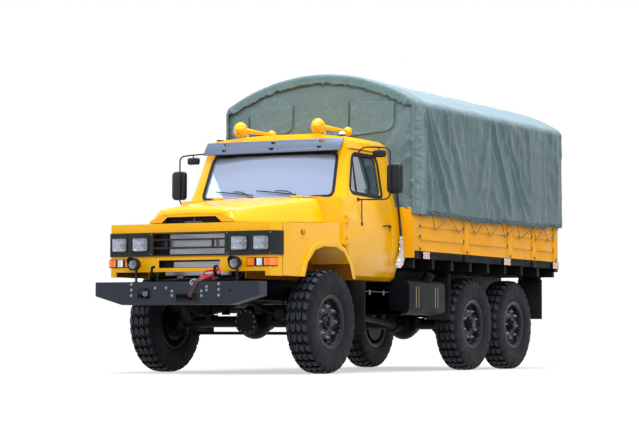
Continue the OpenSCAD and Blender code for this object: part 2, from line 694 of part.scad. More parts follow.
// Hinge barrels of the bonnet stand on the cowl and on the bonnet's rear edge.
bonnet_axis_st = bonnet_rear_st + 5;
bonnet_axis_z = bonnet_rear_top + 2;
barrel_r = 9;
bonnet_hinge_x = [-500, 500];
module bonnet_barrel(x0, x1, y0, y1) {
  translate([0, bonnet_axis_st, bonnet_axis_z]) disc_x(x0, x1, barrel_r);
  block([x0, y0, bonnet_rear_top - 25], [x1, y1, bonnet_axis_z]);
}
module bonnet() color(body_paint) at_axle() {
  difference() {
    bonnet_body(0);
    bonnet_body(panel_t);
    along_y(bonnet_front_st - eps, bonnet_front_st + 60)
      polygon(mirrored([[385, bonnet_lip_z - 5], [300, 1668], [0, 1672]]));
  }
  for (x = bonnet_hinge_x) bonnet_barrel(x - 30, x + 30, bonnet_rear_st - 15, bonnet_axis_st);
}
// The cowl carries on the bonnet's section back to the firewall.
module cowl() {
  along_y(bonnet_axis_st + eps, firewall_st + eps) polygon(mirrored([[0, bonnet_rear_top],
    [444, bonnet_rear_top - 7], [740, 1908], [bonnet_rear_w + 8, bonnet_lip_z + 48],
    [bonnet_rear_w + 8, bonnet_lip_z - 30]]));
  for (x = bonnet_hinge_x) {
    bonnet_barrel(x - 60, x - 30 - seat_gap, bonnet_axis_st, bonnet_axis_st + 25);
    bonnet_barrel(x + 30 + seat_gap, x + 60, bonnet_axis_st, bonnet_axis_st + 25);
  }
}

// ---------------------------------------------------------------- cab

// Half outline of the cab across the truck, from the sill up to the roof's edge.
side_curve = [[958, cab_floor_z], [1006, cab_floor_z + 45], [1056, 1240], [1078, 1430],
  [1080, 1560], [1066, 1700], [1036, 1853], [986, 2061], [926, 2466], [898, 2592]];
roof_edge = [[850, roof_z - 48], [450, roof_z - 14], [0, roof_z]];
// Height of the roof's skin between its two inner edges at a distance from the middle.
function roof_surface(x) = roof_z - 14 - 34 * (x - 450) / 400;
screen_r = 6000;
screen_base_st = 450;
screen_base_z = 1935;
door_top_z = 2494;
door_rear_st = 1520;
door_front_st = 430;
roof_split_z = door_top_z + door_gap - 2;
// Station of the windscreen's outer face at a height and a distance from the middle.
function screen_st(z, x) = screen_base_st + (z - screen_base_z) * tan(screen_lean)
  + x * x / (2 * screen_r * cos(screen_lean));

module cab_section(inset) polygon(mirrored(concat([[0, cab_floor_z + inset]],
  [for (p = side_curve) [p[0] - inset, max(p[1], cab_floor_z + inset)]],
  [for (p = roof_edge) [max(p[0] - inset, 0), p[1] - inset]])));
// The volume in front of the rear face and behind the firewall and windscreen.
module cab_length(inset) {
  rear = cab_rear_st - inset;
  block([-1200, firewall_st + inset, 900], [1200, rear, screen_base_z - inset]);
  intersection() {
    block([-1200, firewall_st, 900], [1200, rear, 2800]);
    translate([0, screen_base_st + inset / cos(screen_lean), screen_base_z])
      rotate([-screen_lean, 0, 0]) translate([0, screen_r, -300])
      cylinder(h = 1400, r = screen_r, $fn = 720);
  }
}
module cab_body(inset) intersection() {
  along_y(firewall_st - eps, cab_rear_st + eps) cab_section(inset);
  cab_length(inset);
}
module screen_opening(grow) along_y(firewall_st + 30, 950) polygon(rounded(mirrored(
  [[screen_half_w + grow, screen_base_z + 22 - grow], [screen_half_w - 45 + grow, 2455 + grow]]), 60));
module rear_window_opening() along_y(cab_rear_st - 100, cab_rear_st + eps)
  polygon(rounded([[-420, 2060], [420, 2060], [420, 2400], [-420, 2400]], 60));
module cab_walls() difference() {
  cab_body(0);
  cab_body(cab_wall);
  screen_opening(0);
  rear_window_opening();
  both_sides() {
    door_shape(-200, cab_wall + door_gap, door_gap);
    // Room for the wheel house and, outside it, for the arch's flared lip.
    along_x(inner_wing_x - 10, 1200) polygon(arch(liner_t + 2));
    along_x(nose_half_w - 60, 1200) polygon(arch(flare + 30));
  }
}

// The lower front corner of a door curves round the wheel arch.
function door_toe(g) = [[door_front_st + 4 - g, 1400], [arch_st + 455 + flare + 14 - g, 1205],
  [arch_st + 540 + flare + 12 - g, cab_floor_z - g]];
pillar_t = 40;
door_lean_top = screen_st(door_top_z, 920) + pillar_t + 12;
door_lean_low = screen_st(screen_base_z + 30, 1000) + pillar_t - 10;
function door_outline(g) = concat([[door_lean_top - g, door_top_z + g],
  [door_lean_low - g, screen_base_z + 30], [door_front_st + 25 - g, screen_base_z - 70],
  [door_front_st - g, screen_base_z - 120], [door_front_st - g, 1480]], door_toe(g),
  [[door_rear_st + g, cab_floor_z - g], [door_rear_st + g, door_top_z + g]]);
// The cab's side curve moved inwards, with its foot carried straight down by g.
function door_side(depth, g) = concat(g > 0 ? [[side_curve[0][0] - depth, cab_floor_z - g]] : [],
  [for (p = side_curve) [p[0] - depth, p[1]]]);
// A strip of the cab's side between two depths, cut to a door's outline grown by g.
module door_shape(outer, inner, g) intersection() {
  along_y(door_front_st - 100, door_rear_st + 100) polygon(concat(door_side(outer, g),
    reversed(door_side(inner, g))));
  along_x(500, 1400) polygon(door_outline(g));
}
// The door window's outline, grown by an amount.
function window_outline(g) = rounded([[660 - g, 2010 - g], [1425 + g, 1990 - g],
  [1405 + g, 2440 + g], [830 - g, 2440 + g]], 80 + g, 5);
module door() {
  difference() {
    door_shape(0, cab_wall, 0);
    along_x(500, 1400) polygon(window_outline(0));
  }
  for (z = door_hinge_z) door_barrel(z, z + 40, 0, 40);
}
module door_glass() intersection() {
  door_shape(cab_wall / 2 - glass_t / 2, cab_wall / 2 + glass_t / 2, 0);
  along_x(500, 1400) polygon(window_outline(0));
}
// Door hinges stand on the skin: the cab's barrel is below, the door's above.
door_axis_x = 1092;
door_axis_st = door_front_st - door_gap / 2;
door_hinge_z = [1460, 1690];
module door_barrel(z0, z1, y0, y1) {
  translate([door_axis_x, door_axis_st, z0]) cylinder(h = z1 - z0, r = barrel_r);
  block([1058, door_axis_st + y0, z0], [door_axis_x, door_axis_st + y1, z1]);
}
module left_door() color(body_paint) at_axle() door();
module right_door() color(body_paint) at_axle() mirror([1, 0, 0]) door();
module left_door_glass() color("#22303480") at_axle() door_glass();
module right_door_glass() color("#22303480") at_axle() mirror([1, 0, 0]) door_glass();

floor_top_z = cab_floor_z + cab_wall;
// The floor panel's edge stands up a little under the walls.
floor_split_z = floor_top_z + 12;
module cab_floor() color(body_paint) at_axle() intersection() {
  cab_walls();
  block([-1200, firewall_st - eps, 900], [1200, cab_rear_st + eps, floor_split_z]);
}
module cab_front() color(body_paint) at_axle() {
  intersection() {
    cab_walls();
    block([-1200, firewall_st - eps, floor_split_z], [1200, door_lean_top + 60, roof_split_z]);
  }
  cowl();
  both_sides() for (z = door_hinge_z) door_barrel(z - 40, z - seat_gap, -32, 0);
}
module cab_rear_wall() color(body_paint) at_axle() intersection() {
  cab_walls();
  block([-1200, door_rear_st - 30, floor_split_z], [1200, cab_rear_st + eps, roof_split_z]);
}
module cab_roof() color(body_paint) at_axle() {
  intersection() {
    cab_walls();
    block([-1200, firewall_st, roof_split_z], [1200, cab_rear_st, roof_z + eps]);
  }
  // Roof hatch.
  along_z(roof_z - 20, roof_z + 22) polygon(rounded([[-395, 1010], [395, 1010], [395, 1420], [-395, 1420]], 60));
}
module cab_glass() color("#22303480") at_axle() {
  intersection() {
    screen_opening(0);
    difference() {
      cab_length(16);
      cab_length(16 + glass_t);
    }
    block([-1200, screen_base_st, screen_base_z], [1200, 1000, door_top_z]);
  }
  along_y(cab_rear_st - cab_wall / 2 - glass_t / 2, cab_rear_st - cab_wall / 2 + glass_t / 2)
    polygon(rounded([[-420, 2060], [420, 2060], [420, 2400], [-420, 2400]], 60));
}

seat_z = 1400;
module seat(x0, x1) {
  block([x0 + 40, 1150, floor_top_z], [x1 - 40, 1540, seat_z - 90]);
  along_x(x0, x1) polygon(rounded([[1080, seat_z - 90], [1600, seat_z - 90], [1600, seat_z + 20], [1080, seat_z + 40]], 30));
  along_x(x0, x1) polygon(rounded([[1500, seat_z + 10], [1610, seat_z + 10], [1655, 2080], [1570, 2080]], 35));
}
module seats() color("#2b2d31") at_axle() {
  seat(170, 720);
  seat(-800, 60);
}
module dashboard() color("#26282b") at_axle() {
  along_x(-960, 960) polygon(rounded([[firewall_st + cab_wall, 1500], [700, 1535], [760, 1700],
    [700, 1830], [firewall_st + cab_wall, screen_base_z - cab_wall - 2]], 25));
  rod(column_foot, column_top, column_r);
}
column_r = 32;
column_x = 445;
wheel_centre = [column_x, 940, 1800];
column_tilt = 40;
column_dir = [0, sin(column_tilt), cos(column_tilt)];
// The column's foot stands against the inside of the firewall.
column_foot = wheel_centre - (wheel_centre[1] - firewall_st - cab_wall - column_r * cos(column_tilt)
  - seat_gap) / sin(column_tilt) * column_dir;
column_top = wheel_centre - 30 * column_dir;
steering_wheel_r = 225;
module steering_wheel() color("#17181a") at_axle() translate(wheel_centre) rotate([-column_tilt, 0, 0]) {
  rotate_extrude($fn = 64) translate([steering_wheel_r, 0]) circle(r = 16, $fn = 24);
  for (a = [90, 210, 330]) rotate([0, 0, a]) block([0, -14, -8], [steering_wheel_r, 14, 6]);
  translate([0, 0, -30 + seat_gap]) cylinder(h = 42, r = 60);
}

visor_half_w = 890;
module sun_visor() color(slate_paint) at_axle() {
  low_st = 602;
  top_st = 704;
  plate_x = visor_half_w - 60;
  difference() {
    along_x(-visor_half_w, visor_half_w)
      polygon([[low_st, 2478], [top_st, 2622], [top_st + 14, 2616], [low_st + 14, 2472]]);
    for (x = [-620, 0, 620], z = [2520, 2590]) block([x - 22, low_st - 50, z - 7], [x + 22, top_st + 60, z + 7]);
  }
  // End plates reach back to the roof's edge.
  both_sides() along_x(plate_x, plate_x + 8) polygon([[low_st + 10, 2480], [top_st + 10, 2615],
    [screen_st(2605, plate_x) - seat_gap, 2605],
    [screen_st(2510, plate_x) - seat_gap, 2510]]);
}

mirror_x = 1380;
mirror_st = 880;
module mirror_set() {
  arm_r = 9;
  top = [[910, 1000, 2470], [1010, 985, 2530], [1320, mirror_st, 2505], [mirror_x, mirror_st, 2440],
    [mirror_x, mirror_st, 1990], [1330, mirror_st, 1925], [1016, 800, 1930]];
  intersection() {
    union() {
      bent_rod(top, arm_r);
      rod([1060, 812, 1929], [1068, 800, 1650], 7);
    }
    // The arms start on the door's outer face.
    along_y(400, 1600) polygon(concat([for (p = side_curve) p],
      [[1800, 2592], [1800, cab_floor_z]]));
  }
  along_x(mirror_x - 60, mirror_x + 130)
    polygon(rounded([[mirror_st + 8, 1990], [mirror_st + 68, 1990], [mirror_st + 68, 2330], [mirror_st + 8, 2330]], 20));
  along_x(1140, 1300)
    polygon(rounded([[mirror_st + 12, 2400], [mirror_st + 60, 2400], [mirror_st + 60, 2485], [mirror_st + 12, 2485]], 12));
  rod([1220, mirror_st + 36, 2480], [1220, mirror_st + 30, 2512], 8);
  rod([mirror_x, mirror_st, 2160], [mirror_x, mirror_st + 20, 2160], 14);
}
module left_mirror() color(black_paint) at_axle() mirror_set();
module right_mirror() color(black_paint) at_axle() mirror([1, 0, 0]) mirror_set();

module air_horns() color(body_paint) at_axle() both_sides() {
  horn_z = 2772;
  translate([508, 0, horn_z]) {
    translate([0, 790, 0]) sphere(r = 86);
    rotate([-90, 0, 0]) translate([0, 0, 800]) cylinder(h = 720, r1 = 30, r2 = 15);
    translate([0, 1520, 0]) sphere(r = 46);
  }
  for (st = [960, 1430]) rod([508, st, horn_z], [508, st, roof_surface(508 - 12) + seat_gap], 12);
}

// ---------------------------------------------------------------- load bed

floor_t = 62;
cross_beam_h = 118;
beam_count = 9;
beam_w = 64;
function beam_st(i) = bed_front_st + 60 + (bed_l - 120) * i / (beam_count - 1);
module bed_floor() color(body_paint) at_axle() {
  inner = bed_half_w - board_t;
  block([-inner, bed_front_st, bed_floor_z - floor_t], [inner, bed_rear_st, bed_floor_z]);
  // Tailgate hinge barrels.
  for (x = tail_hinge_x, s = [-1, 1]) tail_barrel(x + s * 52, 17 - seat_gap, bed_rear_st - eps,
    hinge_st, hinge_z - hinge_r, hinge_z - 1);
}
module bed_beams() color(body_paint) at_axle() {
  inner = bed_half_w - board_t;
  for (i = [0:beam_count - 1]) block([-inner, beam_st(i) - beam_w / 2, beam_z0],
    [inner, beam_st(i) + beam_w / 2, bed_floor_z - floor_t]);
  both_sides() block([frame_half - rail_w, bed_front_st, rail_top_z],
    [frame_half, bed_rear_st - 20, bed_floor_z - floor_t]);
}
beam_z0 = bed_floor_z - floor_t - cross_beam_h;
module bed_front_wall() color(body_paint) at_axle() {
  block([-bed_half_w, bed_front_st - board_t, bed_floor_z - floor_t],
    [bed_half_w, bed_front_st, bed_floor_z + board_h]);
}
stake_w = 130;
stake_st = [bed_front_st + stake_w / 2, 3220, 4520, 5290, bed_rear_st - 70];
rib_count = 4;
bay_gap = 36;
module side_board() {
  x0 = bed_half_w - board_t;
  face = bed_half_w - 16;
  block([x0, bed_front_st, bed_floor_z - floor_t], [face, bed_rear_st, bed_floor_z + board_h]);
  for (st = stake_st) block([face - eps, st - stake_w / 2, bed_floor_z - floor_t - 8],
    [bed_half_w, st + stake_w / 2, bed_floor_z + board_h]);
  for (b = [0:len(stake_st) - 2], i = [0:rib_count - 1]) {
    z = bed_floor_z + 20 + i * (board_h - 60) / (rib_count - 1);
    block([face - eps, stake_st[b] + stake_w / 2 + bay_gap, z - 22],
      [bed_half_w - 4, stake_st[b + 1] - stake_w / 2 - bay_gap, z + 22]);
  }
  // Tail post foot.
  block([x0, bed_rear_st - 100, 1262], [bed_half_w, bed_rear_st, bed_floor_z - floor_t + eps]);
}
module side_boards() color(body_paint) at_axle() both_sides() side_board();

tail_gap = 6;
tail_t = 40;
tail_half = bed_half_w - board_t - tail_gap;
hinge_r = 9;
hinge_st = bed_rear_st + 34;
hinge_z = bed_floor_z - 2;
tail_z0 = hinge_z + hinge_r + 4;
tail_hinge_x = [-850, 0, 850];
// A hinge barrel round x, with a leaf from y0 to y1 and z0 to z1.
module tail_barrel(x, half_l, y0, y1, z0, z1) {
  translate([0, hinge_st, hinge_z]) disc_x(x - half_l, x + half_l, hinge_r);
  block([x - half_l, y0, z0], [x + half_l, y1, z1]);
}
module tailgate() color(body_paint) at_axle() {
  for (x = tail_hinge_x) tail_barrel(x, 35, hinge_st - 6, hinge_st + 6, hinge_z, tail_z0 + eps);
  block([-tail_half, bed_rear_st + tail_gap, tail_z0],
    [tail_half, bed_rear_st + tail_gap + tail_t, bed_floor_z + board_h]);
  for (i = [0:rib_count - 1]) {
    z = bed_floor_z + 40 + i * (board_h - 80) / (rib_count - 1);
    for (s = [-1, 0, 1]) block([s * 770 - 350, bed_rear_st + tail_gap + tail_t - eps, z - 22],
      [s * 770 + 350, bed_rear_st + tail_gap + tail_t + 12, z + 22]);
  }
}

// ---------------------------------------------------------------- canvas

canvas_half = bed_half_w + canvas_proud;
canvas_front = cab_rear_st + 8;
canvas_rear = bed_rear_st + 75;
// Half of the canvas's cross section, moved inwards by an amount.
function canvas_arch(inset) =
  let (r_top = canvas_top_r - inset, r_corner = canvas_corner_r - inset,
       x_corner = canvas_half - canvas_corner_r, z_top = canvas_top_z - canvas_top_r,
       span = canvas_top_r - canvas_corner_r,
       z_corner = z_top + sqrt(span * span - x_corner * x_corner),
       tangent = asin(x_corner / span), n_top = 8, n_corner = 6)
  concat([[x_corner + r_corner, z_corner]],
    [for (i = [1:n_corner]) let (a = 90 - (90 - tangent) * i / n_corner)
      [x_corner + r_corner * sin(a), z_corner + r_corner * cos(a)]],
    [for (i = [1:n_top]) let (a = tangent * (1 - i / n_top))
      [r_top * sin(a), z_top + r_top * cos(a)]]);
module canvas_section(inset, z_low) polygon(mirrored(concat(
  [[canvas_half - inset, z_low]], canvas_arch(inset))));
module canvas_cover() color(canvas_green) at_axle() difference() {
  along_y(canvas_front, canvas_rear) canvas_section(0, canvas_hem_z);
  along_y(canvas_front + canvas_t, canvas_rear + eps) canvas_section(canvas_t, canvas_hem_z - eps);
  // The front curtain stops above the front wall's lower part.
  block([-canvas_half - eps, canvas_front - eps, canvas_hem_z - eps],
    [canvas_half + eps, canvas_front + canvas_t + eps, canvas_hem_z + 20]);
}
bow_t = 30;
foot_gap = 4;
bow_count = 6;
module canvas_bows() color("#d8d9d2") at_axle() {
  out = canvas_t + seat_gap;
  foot_x = bed_half_w - board_t;
  for (i = [0:bow_count - 1]) {
    st = bed_front_st + 30 + (bed_l - 60) * i / (bow_count - 1);
    along_y(st - 20, st + 20) difference() {
      canvas_section(out, bed_floor_z + board_h);
      canvas_section(out + bow_t, bed_floor_z + board_h - eps);
    }
    // Each leg's foot stands against the board, just above the floor.
    both_sides() {
      block([foot_x - 30, st - 20, bed_floor_z + foot_gap], [foot_x, st + 20, bed_floor_z + board_h + 50]);
      block([foot_x - 30, st - 20, bed_floor_z + board_h + seat_gap],
        [canvas_half - out, st + 20, bed_floor_z + board_h + 50]);
    }
  }
  // Long slats tie the bows.
  for (x = [-760, 0, 760]) {
    z = canvas_top_z - canvas_top_r + sqrt(pow(canvas_top_r - out - bow_t, 2) - x * x) - 22;
    block([x - 25, bed_front_st + 10, z - 10], [x + 25, bed_rear_st - 10, z + 24]);
  }
}

// ---------------------------------------------------------------- side equipment

tank_x1 = 1200;
tank_st = cab_rear_st + 8;
tank_z0 = 662;
module fuel_tank() color(black_paint) at_axle() {
  x0 = tank_x1 - tank_depth;
  along_y(tank_st, tank_st + tank_l) polygon(rounded([[x0, tank_z0], [tank_x1, tank_z0],
    [tank_x1, tank_z0 + tank_h], [x0, tank_z0 + tank_h]], 75, 6));
  rod([tank_x1 - 130, tank_st + 610, tank_z0 + tank_h - 60], [tank_x1 - 40, tank_st + 610, tank_z0 + tank_h + 80], 62);
  // Brackets reach the frame rail.
  for (st = [tank_st + 220, tank_st + tank_l - 220])
    block([frame_half, st - 35, rail_z0 + 30], [x0 + eps, st + 35, rail_z0 + 150]);
}
module equipment_boxes() color("#2b2e30") at_axle() {
  // Battery box and step tray on the left.
  block([740, 868, 700], [1050, 1508, 950]);
  block([700, 868, 650], [1110, tank_st - 25, 700 + eps]);
  for (st = [1000, 1380]) block([frame_half, st, rail_z0 + 10], [740 + eps, st + 60, rail_z0 + 90]);
  // Tool box on the right.
  block([-1180, 2340, 700], [-640, 2790, 1060]);
  block([-640 - eps, 2440, rail_z0 + 40], [-frame_half, 2520, rail_z0 + 160]);
  // Two air tanks on one bracket, above each other.
  air_tank_r = 84;
  air_z = [cab_floor_z - 285, cab_floor_z - 105];
  for (z = air_z) translate([-760, 880, z]) rotate([-90, 0, 0]) cylinder(h = 700, r = air_tank_r);
  block([-770, 1200, air_z[0]], [-690, 1260, air_z[1]]);
  block([-700, 1200, air_z[1] - 90], [-frame_half, 1260, air_z[1] + 20]);
}
flap_t = 8;
module flap(st, x0, x1, z0, z1) block([x0, st, z0], [x1, st + flap_t, z1]);
module mudguards() color(black_paint) at_axle() both_sides() {
  flap(745, 820, 1138, 420, cab_floor_z - 13);
  rod([frame_half + 2, 760, rail_z0 + 120], [900, 751, rail_z0 + 160], 12);
  // The middle flap hangs from a cross beam, the rear one from the floor.
  mid_st = beam_st(2) - 20;
  flap(mid_st, 850, 1170, 610, 1150);
  for (x = [900, 1120]) rod([x, mid_st + 10, 1140], [x, mid_st + 10, beam_z0], 14);
  flap(5700, 820, 1160, 640, 1150);
  for (x = [870, 1110]) rod([x, 5704, 1140], [x, 5704, bed_floor_z - floor_t], 14);
}
module breather_pipe() color(black_paint) at_axle() {
  // It comes out of the cab's side and runs down beside the rear corner, held by a clip.
  pipe_st = cab_rear_st - 13;
  pipe_r = 12;
  bent_rod([[985, pipe_st, 2150], [1050, pipe_st, 2070], [1105, pipe_st, 1560], [1092, pipe_st, 1330]], pipe_r);
  block([1079.2 + seat_gap, pipe_st - 8, 1490], [1096, pipe_st + 8, 1510]);
}

chassis_frame();
cross_members();
bumper();
winch();
engine();
radiator();
driveline();
front_axle();
middle_axle();
rear_axle();
leaf_springs();
left_knuckle();
right_knuckle();
tie_rod();
left_front_tyre();
right_front_tyre();
left_middle_tyre();
right_middle_tyre();
left_rear_tyre();
right_rear_tyre();
left_front_wheel();
right_front_wheel();
left_middle_wheel();
right_middle_wheel();
left_rear_wheel();
right_rear_wheel();
nose_panel();
grille();
lamps();
signal_lamps();
wings();
bonnet();
cab_floor();
cab_front();
cab_rear_wall();
cab_roof();
cab_glass();
left_door();
right_door();
left_door_glass();
right_door_glass();
seats();
dashboard();
steering_wheel();
sun_visor();
left_mirror();
right_mirror();
air_horns();
bed_floor();
bed_beams();
bed_front_wall();
side_boards();
tailgate();
canvas_cover();
canvas_bows();
fuel_tank();
equipment_boxes();
mudguards();
breather_pipe();
exhaust();
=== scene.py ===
import json
import math

import bmesh
import bpy
from mathutils import Matrix, Vector, noise

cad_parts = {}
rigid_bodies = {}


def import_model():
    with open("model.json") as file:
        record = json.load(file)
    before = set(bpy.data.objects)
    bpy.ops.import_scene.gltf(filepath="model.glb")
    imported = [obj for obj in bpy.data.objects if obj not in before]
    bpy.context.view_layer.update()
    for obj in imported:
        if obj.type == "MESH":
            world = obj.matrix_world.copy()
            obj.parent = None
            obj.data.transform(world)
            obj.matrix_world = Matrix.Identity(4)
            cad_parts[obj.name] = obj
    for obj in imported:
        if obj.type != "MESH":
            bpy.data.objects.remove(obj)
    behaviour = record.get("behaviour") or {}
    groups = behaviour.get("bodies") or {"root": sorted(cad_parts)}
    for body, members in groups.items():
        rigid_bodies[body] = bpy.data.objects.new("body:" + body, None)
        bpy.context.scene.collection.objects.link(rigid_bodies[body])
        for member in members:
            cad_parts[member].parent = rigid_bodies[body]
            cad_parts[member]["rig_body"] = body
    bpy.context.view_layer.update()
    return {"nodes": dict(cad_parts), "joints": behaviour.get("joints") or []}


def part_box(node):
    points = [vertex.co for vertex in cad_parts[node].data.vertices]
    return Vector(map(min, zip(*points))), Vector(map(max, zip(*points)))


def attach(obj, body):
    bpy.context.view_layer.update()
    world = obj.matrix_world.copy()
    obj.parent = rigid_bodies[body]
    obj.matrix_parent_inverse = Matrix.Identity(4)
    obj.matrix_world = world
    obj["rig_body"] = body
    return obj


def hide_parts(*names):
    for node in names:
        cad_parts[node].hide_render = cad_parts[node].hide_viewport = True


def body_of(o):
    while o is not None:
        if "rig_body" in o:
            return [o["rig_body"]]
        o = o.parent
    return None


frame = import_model()
nodes = frame["nodes"]
joints = {joint["name"]: joint for joint in frame["joints"]}


def joint_at(name):
    """The place of a joint's axis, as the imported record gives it."""
    return Vector(joints[name]["pos_m"])


# Stations run rearwards from the front axle, as on the truck's drawing.
AXLE_Y = joint_at("left_steer").y
AXLE_Z = joint_at("left_steer").z


def st(station):
    """A station, in metres behind the front axle, as a Y of the frame."""
    return AXLE_Y + station


# ---------------------------------------------------------------- materials


def linear(hex_colour):
    """An sRGB hex colour as linear red, green, blue and alpha."""
    parts = [int(hex_colour[i : i + 2], 16) / 255 for i in (1, 3, 5)]
    return tuple(c / 12.92 if c < 0.04045 else ((c + 0.055) / 1.055) ** 2.4 for c in parts) + (1.0,)


def add(tree, kind, inputs=None, **settings):
    """Adds a node, with its settings, and sets or links its inputs."""
    node = tree.nodes.new(kind)
    for key, value in settings.items():
        setattr(node, key, value)
    for key, value in (inputs or {}).items():
        if isinstance(value, bpy.types.NodeSocket):
            tree.links.new(value, node.inputs[key])
        else:
            node.inputs[key].default_value = value
    return node


def blank(name):
    """A new material with only its output node, and a texture coordinate node."""
    made = bpy.data.materials.new(name)
    made.use_nodes = True
    tree = made.node_tree
    tree.nodes.clear()
    out = add(tree, "ShaderNodeOutputMaterial")
    place = add(tree, "ShaderNodeTexCoord").outputs["Object"]
    return made, tree, out, place


def per_mm(size_mm):
    """A noise scale whose grains measure about size_mm, on coordinates in metres."""
    return 1000 / size_mm


def grains(tree, place, size_mm, detail, **more):
    """Noise whose grains measure about size_mm."""
    inputs = {"Vector": place, "Scale": per_mm(size_mm), "Detail": detail, **more}
    return add(tree, "ShaderNodeTexNoise", inputs).outputs["Fac"]


def carried(tree, value, from_min, from_max, to_min, to_max):
    """A value carried from one range to another."""
    return add(tree, "ShaderNodeMapRange", {"Value": value, "From Min": from_min, "From Max": from_max,
        "To Min": to_min, "To Max": to_max}).outputs[0]


def blend(tree, share, one, other):
    """A colour between two, each a hex colour or a socket."""
    one, other = (linear(c) if isinstance(c, str) else c for c in (one, other))
    return add(tree, "ShaderNodeMix", {0: share, 6: one, 7: other}, data_type="RGBA").outputs[2]


def hard_finish(name, colour, darker, rough, metal=0.0, grain_mm=3.0, bump_mm=0.02, patch_mm=400.0,
        patch=0.35, coat=0.0, spec=0.5, rough_var=0.12, dust=0.0):
    """A surface of one paint, casting or moulding: patches of a darker shade, fine grain in the
    relief, uneven roughness and, low on the truck, a film of pale road dust."""
    made, tree, out, place = blank(name)
    patches = grains(tree, place, patch_mm, 6.0, Roughness=0.6)
    tint = blend(tree, carried(tree, patches, 0.42, 0.72, 0.0, patch), colour, darker)
    if dust:
        height = add(tree, "ShaderNodeSeparateXYZ", {0: place}).outputs["Z"]
        low = carried(tree, height, 0.15, 1.15, dust, 0.0)
        film = add(tree, "ShaderNodeMath", {0: low, 1: grains(tree, place, 60, 8.0)}, operation="MULTIPLY")
        tint = blend(tree, film.outputs[0], tint, "#8d8577")
    fine = grains(tree, place, grain_mm, 3.0)
    uneven = carried(tree, patches, 0.3, 0.7, max(rough - rough_var, 0.03), rough + rough_var)
    relief = add(tree, "ShaderNodeBump", {"Height": fine, "Strength": 0.6,
        "Distance": bump_mm / 1000}).outputs[0]
    shader = add(tree, "ShaderNodeBsdfPrincipled", {"Base Color": tint, "Roughness": uneven,
        "Metallic": metal, "Normal": relief, "Coat Weight": coat, "Coat Roughness": 0.06,
        "Specular IOR Level": spec})
    tree.links.new(shader.outputs[0], out.inputs["Surface"])
    return made


def woven(name, colour, darker, pale, thread_mm, rough, bump_mm, crease_mm=90.0, sheen=0.15, painted_top_light=None):
    """Cloth: a plain weave, paler on the high creases that the relief raises (rubbed wear with a painted
    highlight) while the hollows keep the darker base colour, and, where a height band is given, paler above
    it as painted light from above.
    """
    made, tree, out, place = blank(name)
    shade = blend(tree, grains(tree, place, crease_mm * 6, 7.0, Roughness=0.62), colour, darker)
    crease = grains(tree, place, crease_mm, 8.0, Roughness=0.7, Distortion=1.2)
    # Paler on the high creases, which the relief raises: rubbed wear with a painted highlight.
    wear_and_painted_light = blend(tree, carried(tree, crease, 0.56, 0.75, 0.0, 0.45), shade, pale)
    # Above a given height the colour turns paler: painted light on the cover's top.
    if painted_top_light:
        height = add(tree, "ShaderNodeSeparateXYZ", {0: place}).outputs["Z"]
        wear_and_painted_light = blend(tree, carried(tree, height, painted_top_light[0], painted_top_light[1], 0.0, 0.5), wear_and_painted_light, painted_top_light[2])
    threads = []
    for direction in ("X", "Y", "Z"):
        wave = add(tree, "ShaderNodeTexWave", {"Vector": place, "Scale": per_mm(thread_mm) / 20,
            "Distortion": 0.4}, bands_direction=direction)
        threads.append(wave.outputs["Fac"])
    cross = add(tree, "ShaderNodeMath", {0: threads[0], 1: threads[1]}, operation="MULTIPLY").outputs[0]
    weave = add(tree, "ShaderNodeMath", {0: cross, 1: threads[2]}, operation="ADD").outputs[0]
    deep = add(tree, "ShaderNodeBump", {"Height": crease, "Strength": 0.8, "Distance": 0.012}).outputs[0]
    relief = add(tree, "ShaderNodeBump", {"Height": weave, "Strength": 0.5, "Distance": bump_mm / 1000,
        "Normal": deep}).outputs[0]
    shader = add(tree, "ShaderNodeBsdfPrincipled", {"Base Color": wear_and_painted_light, "Roughness": rough,
        "Normal": relief, "Sheen Weight": sheen, "Sheen Roughness": 0.4, "Specular IOR Level": 0.35})
    tree.links.new(shader.outputs[0], out.inputs["Surface"])
    return made


def clear(name, tint, mirror_tint, body=0.0, haze_and_painted_sky_colour="#b9c6da", glare=0.12, rough=0.02):
    """Thin glazing: tinted see-through, a mirror that strengthens at grazing angles, and a flat diffuse
    colour: a faint haze, and on the windscreen a strong pale blue painted sky reflection.
    """
    made, tree, out, _ = blank(name)
    through = add(tree, "ShaderNodeBsdfTransparent", {"Color": linear(tint)})
    gloss = add(tree, "ShaderNodeBsdfGlossy", {"Color": linear(mirror_tint), "Roughness": rough})
    edge = add(tree, "ShaderNodeLayerWeight", {"Blend": 0.35}).outputs["Facing"]
    share = add(tree, "ShaderNodeMapRange", {"Value": edge, "To Min": glare, "To Max": 0.85}).outputs[0]
    pane = add(tree, "ShaderNodeMixShader", {0: share, 1: through.outputs[0], 2: gloss.outputs[0]})
    haze_and_painted_sky = add(tree, "ShaderNodeBsdfDiffuse", {"Color": linear(haze_and_painted_sky_colour)})
    whole = add(tree, "ShaderNodeMixShader", {0: body, 1: pane.outputs[0], 2: haze_and_painted_sky.outputs[0]})
    tree.links.new(whole.outputs[0], out.inputs["Surface"])
    return made


# Satin golden-yellow enamel on the bed's boards, walls and tailgate.
bed_yellow = hard_finish("satin_yellow_enamel", "#f2a900", "#e39a00", 0.42, grain_mm=5, bump_mm=0.04,
    patch=0.5, spec=0.22)
# Golden-yellow two-pack gloss on pressed steel: wet shine, faint orange peel, slightly uneven shade.
gloss_yellow = hard_finish("gloss_yellow_enamel", "#f4b400", "#eca800", 0.24, coat=0.12, grain_mm=4,
    bump_mm=0.012, patch=0.5, dust=0.03, spec=0.3)
# The same paint inside the wheel arches, darker and browner: painted shade under the wings.
shaded_arch_yellow = hard_finish("painted_shade_arch_yellow", "#8a5208", "#6a3d06", 0.6, grain_mm=5, bump_mm=0.08,
    spec=0.15)
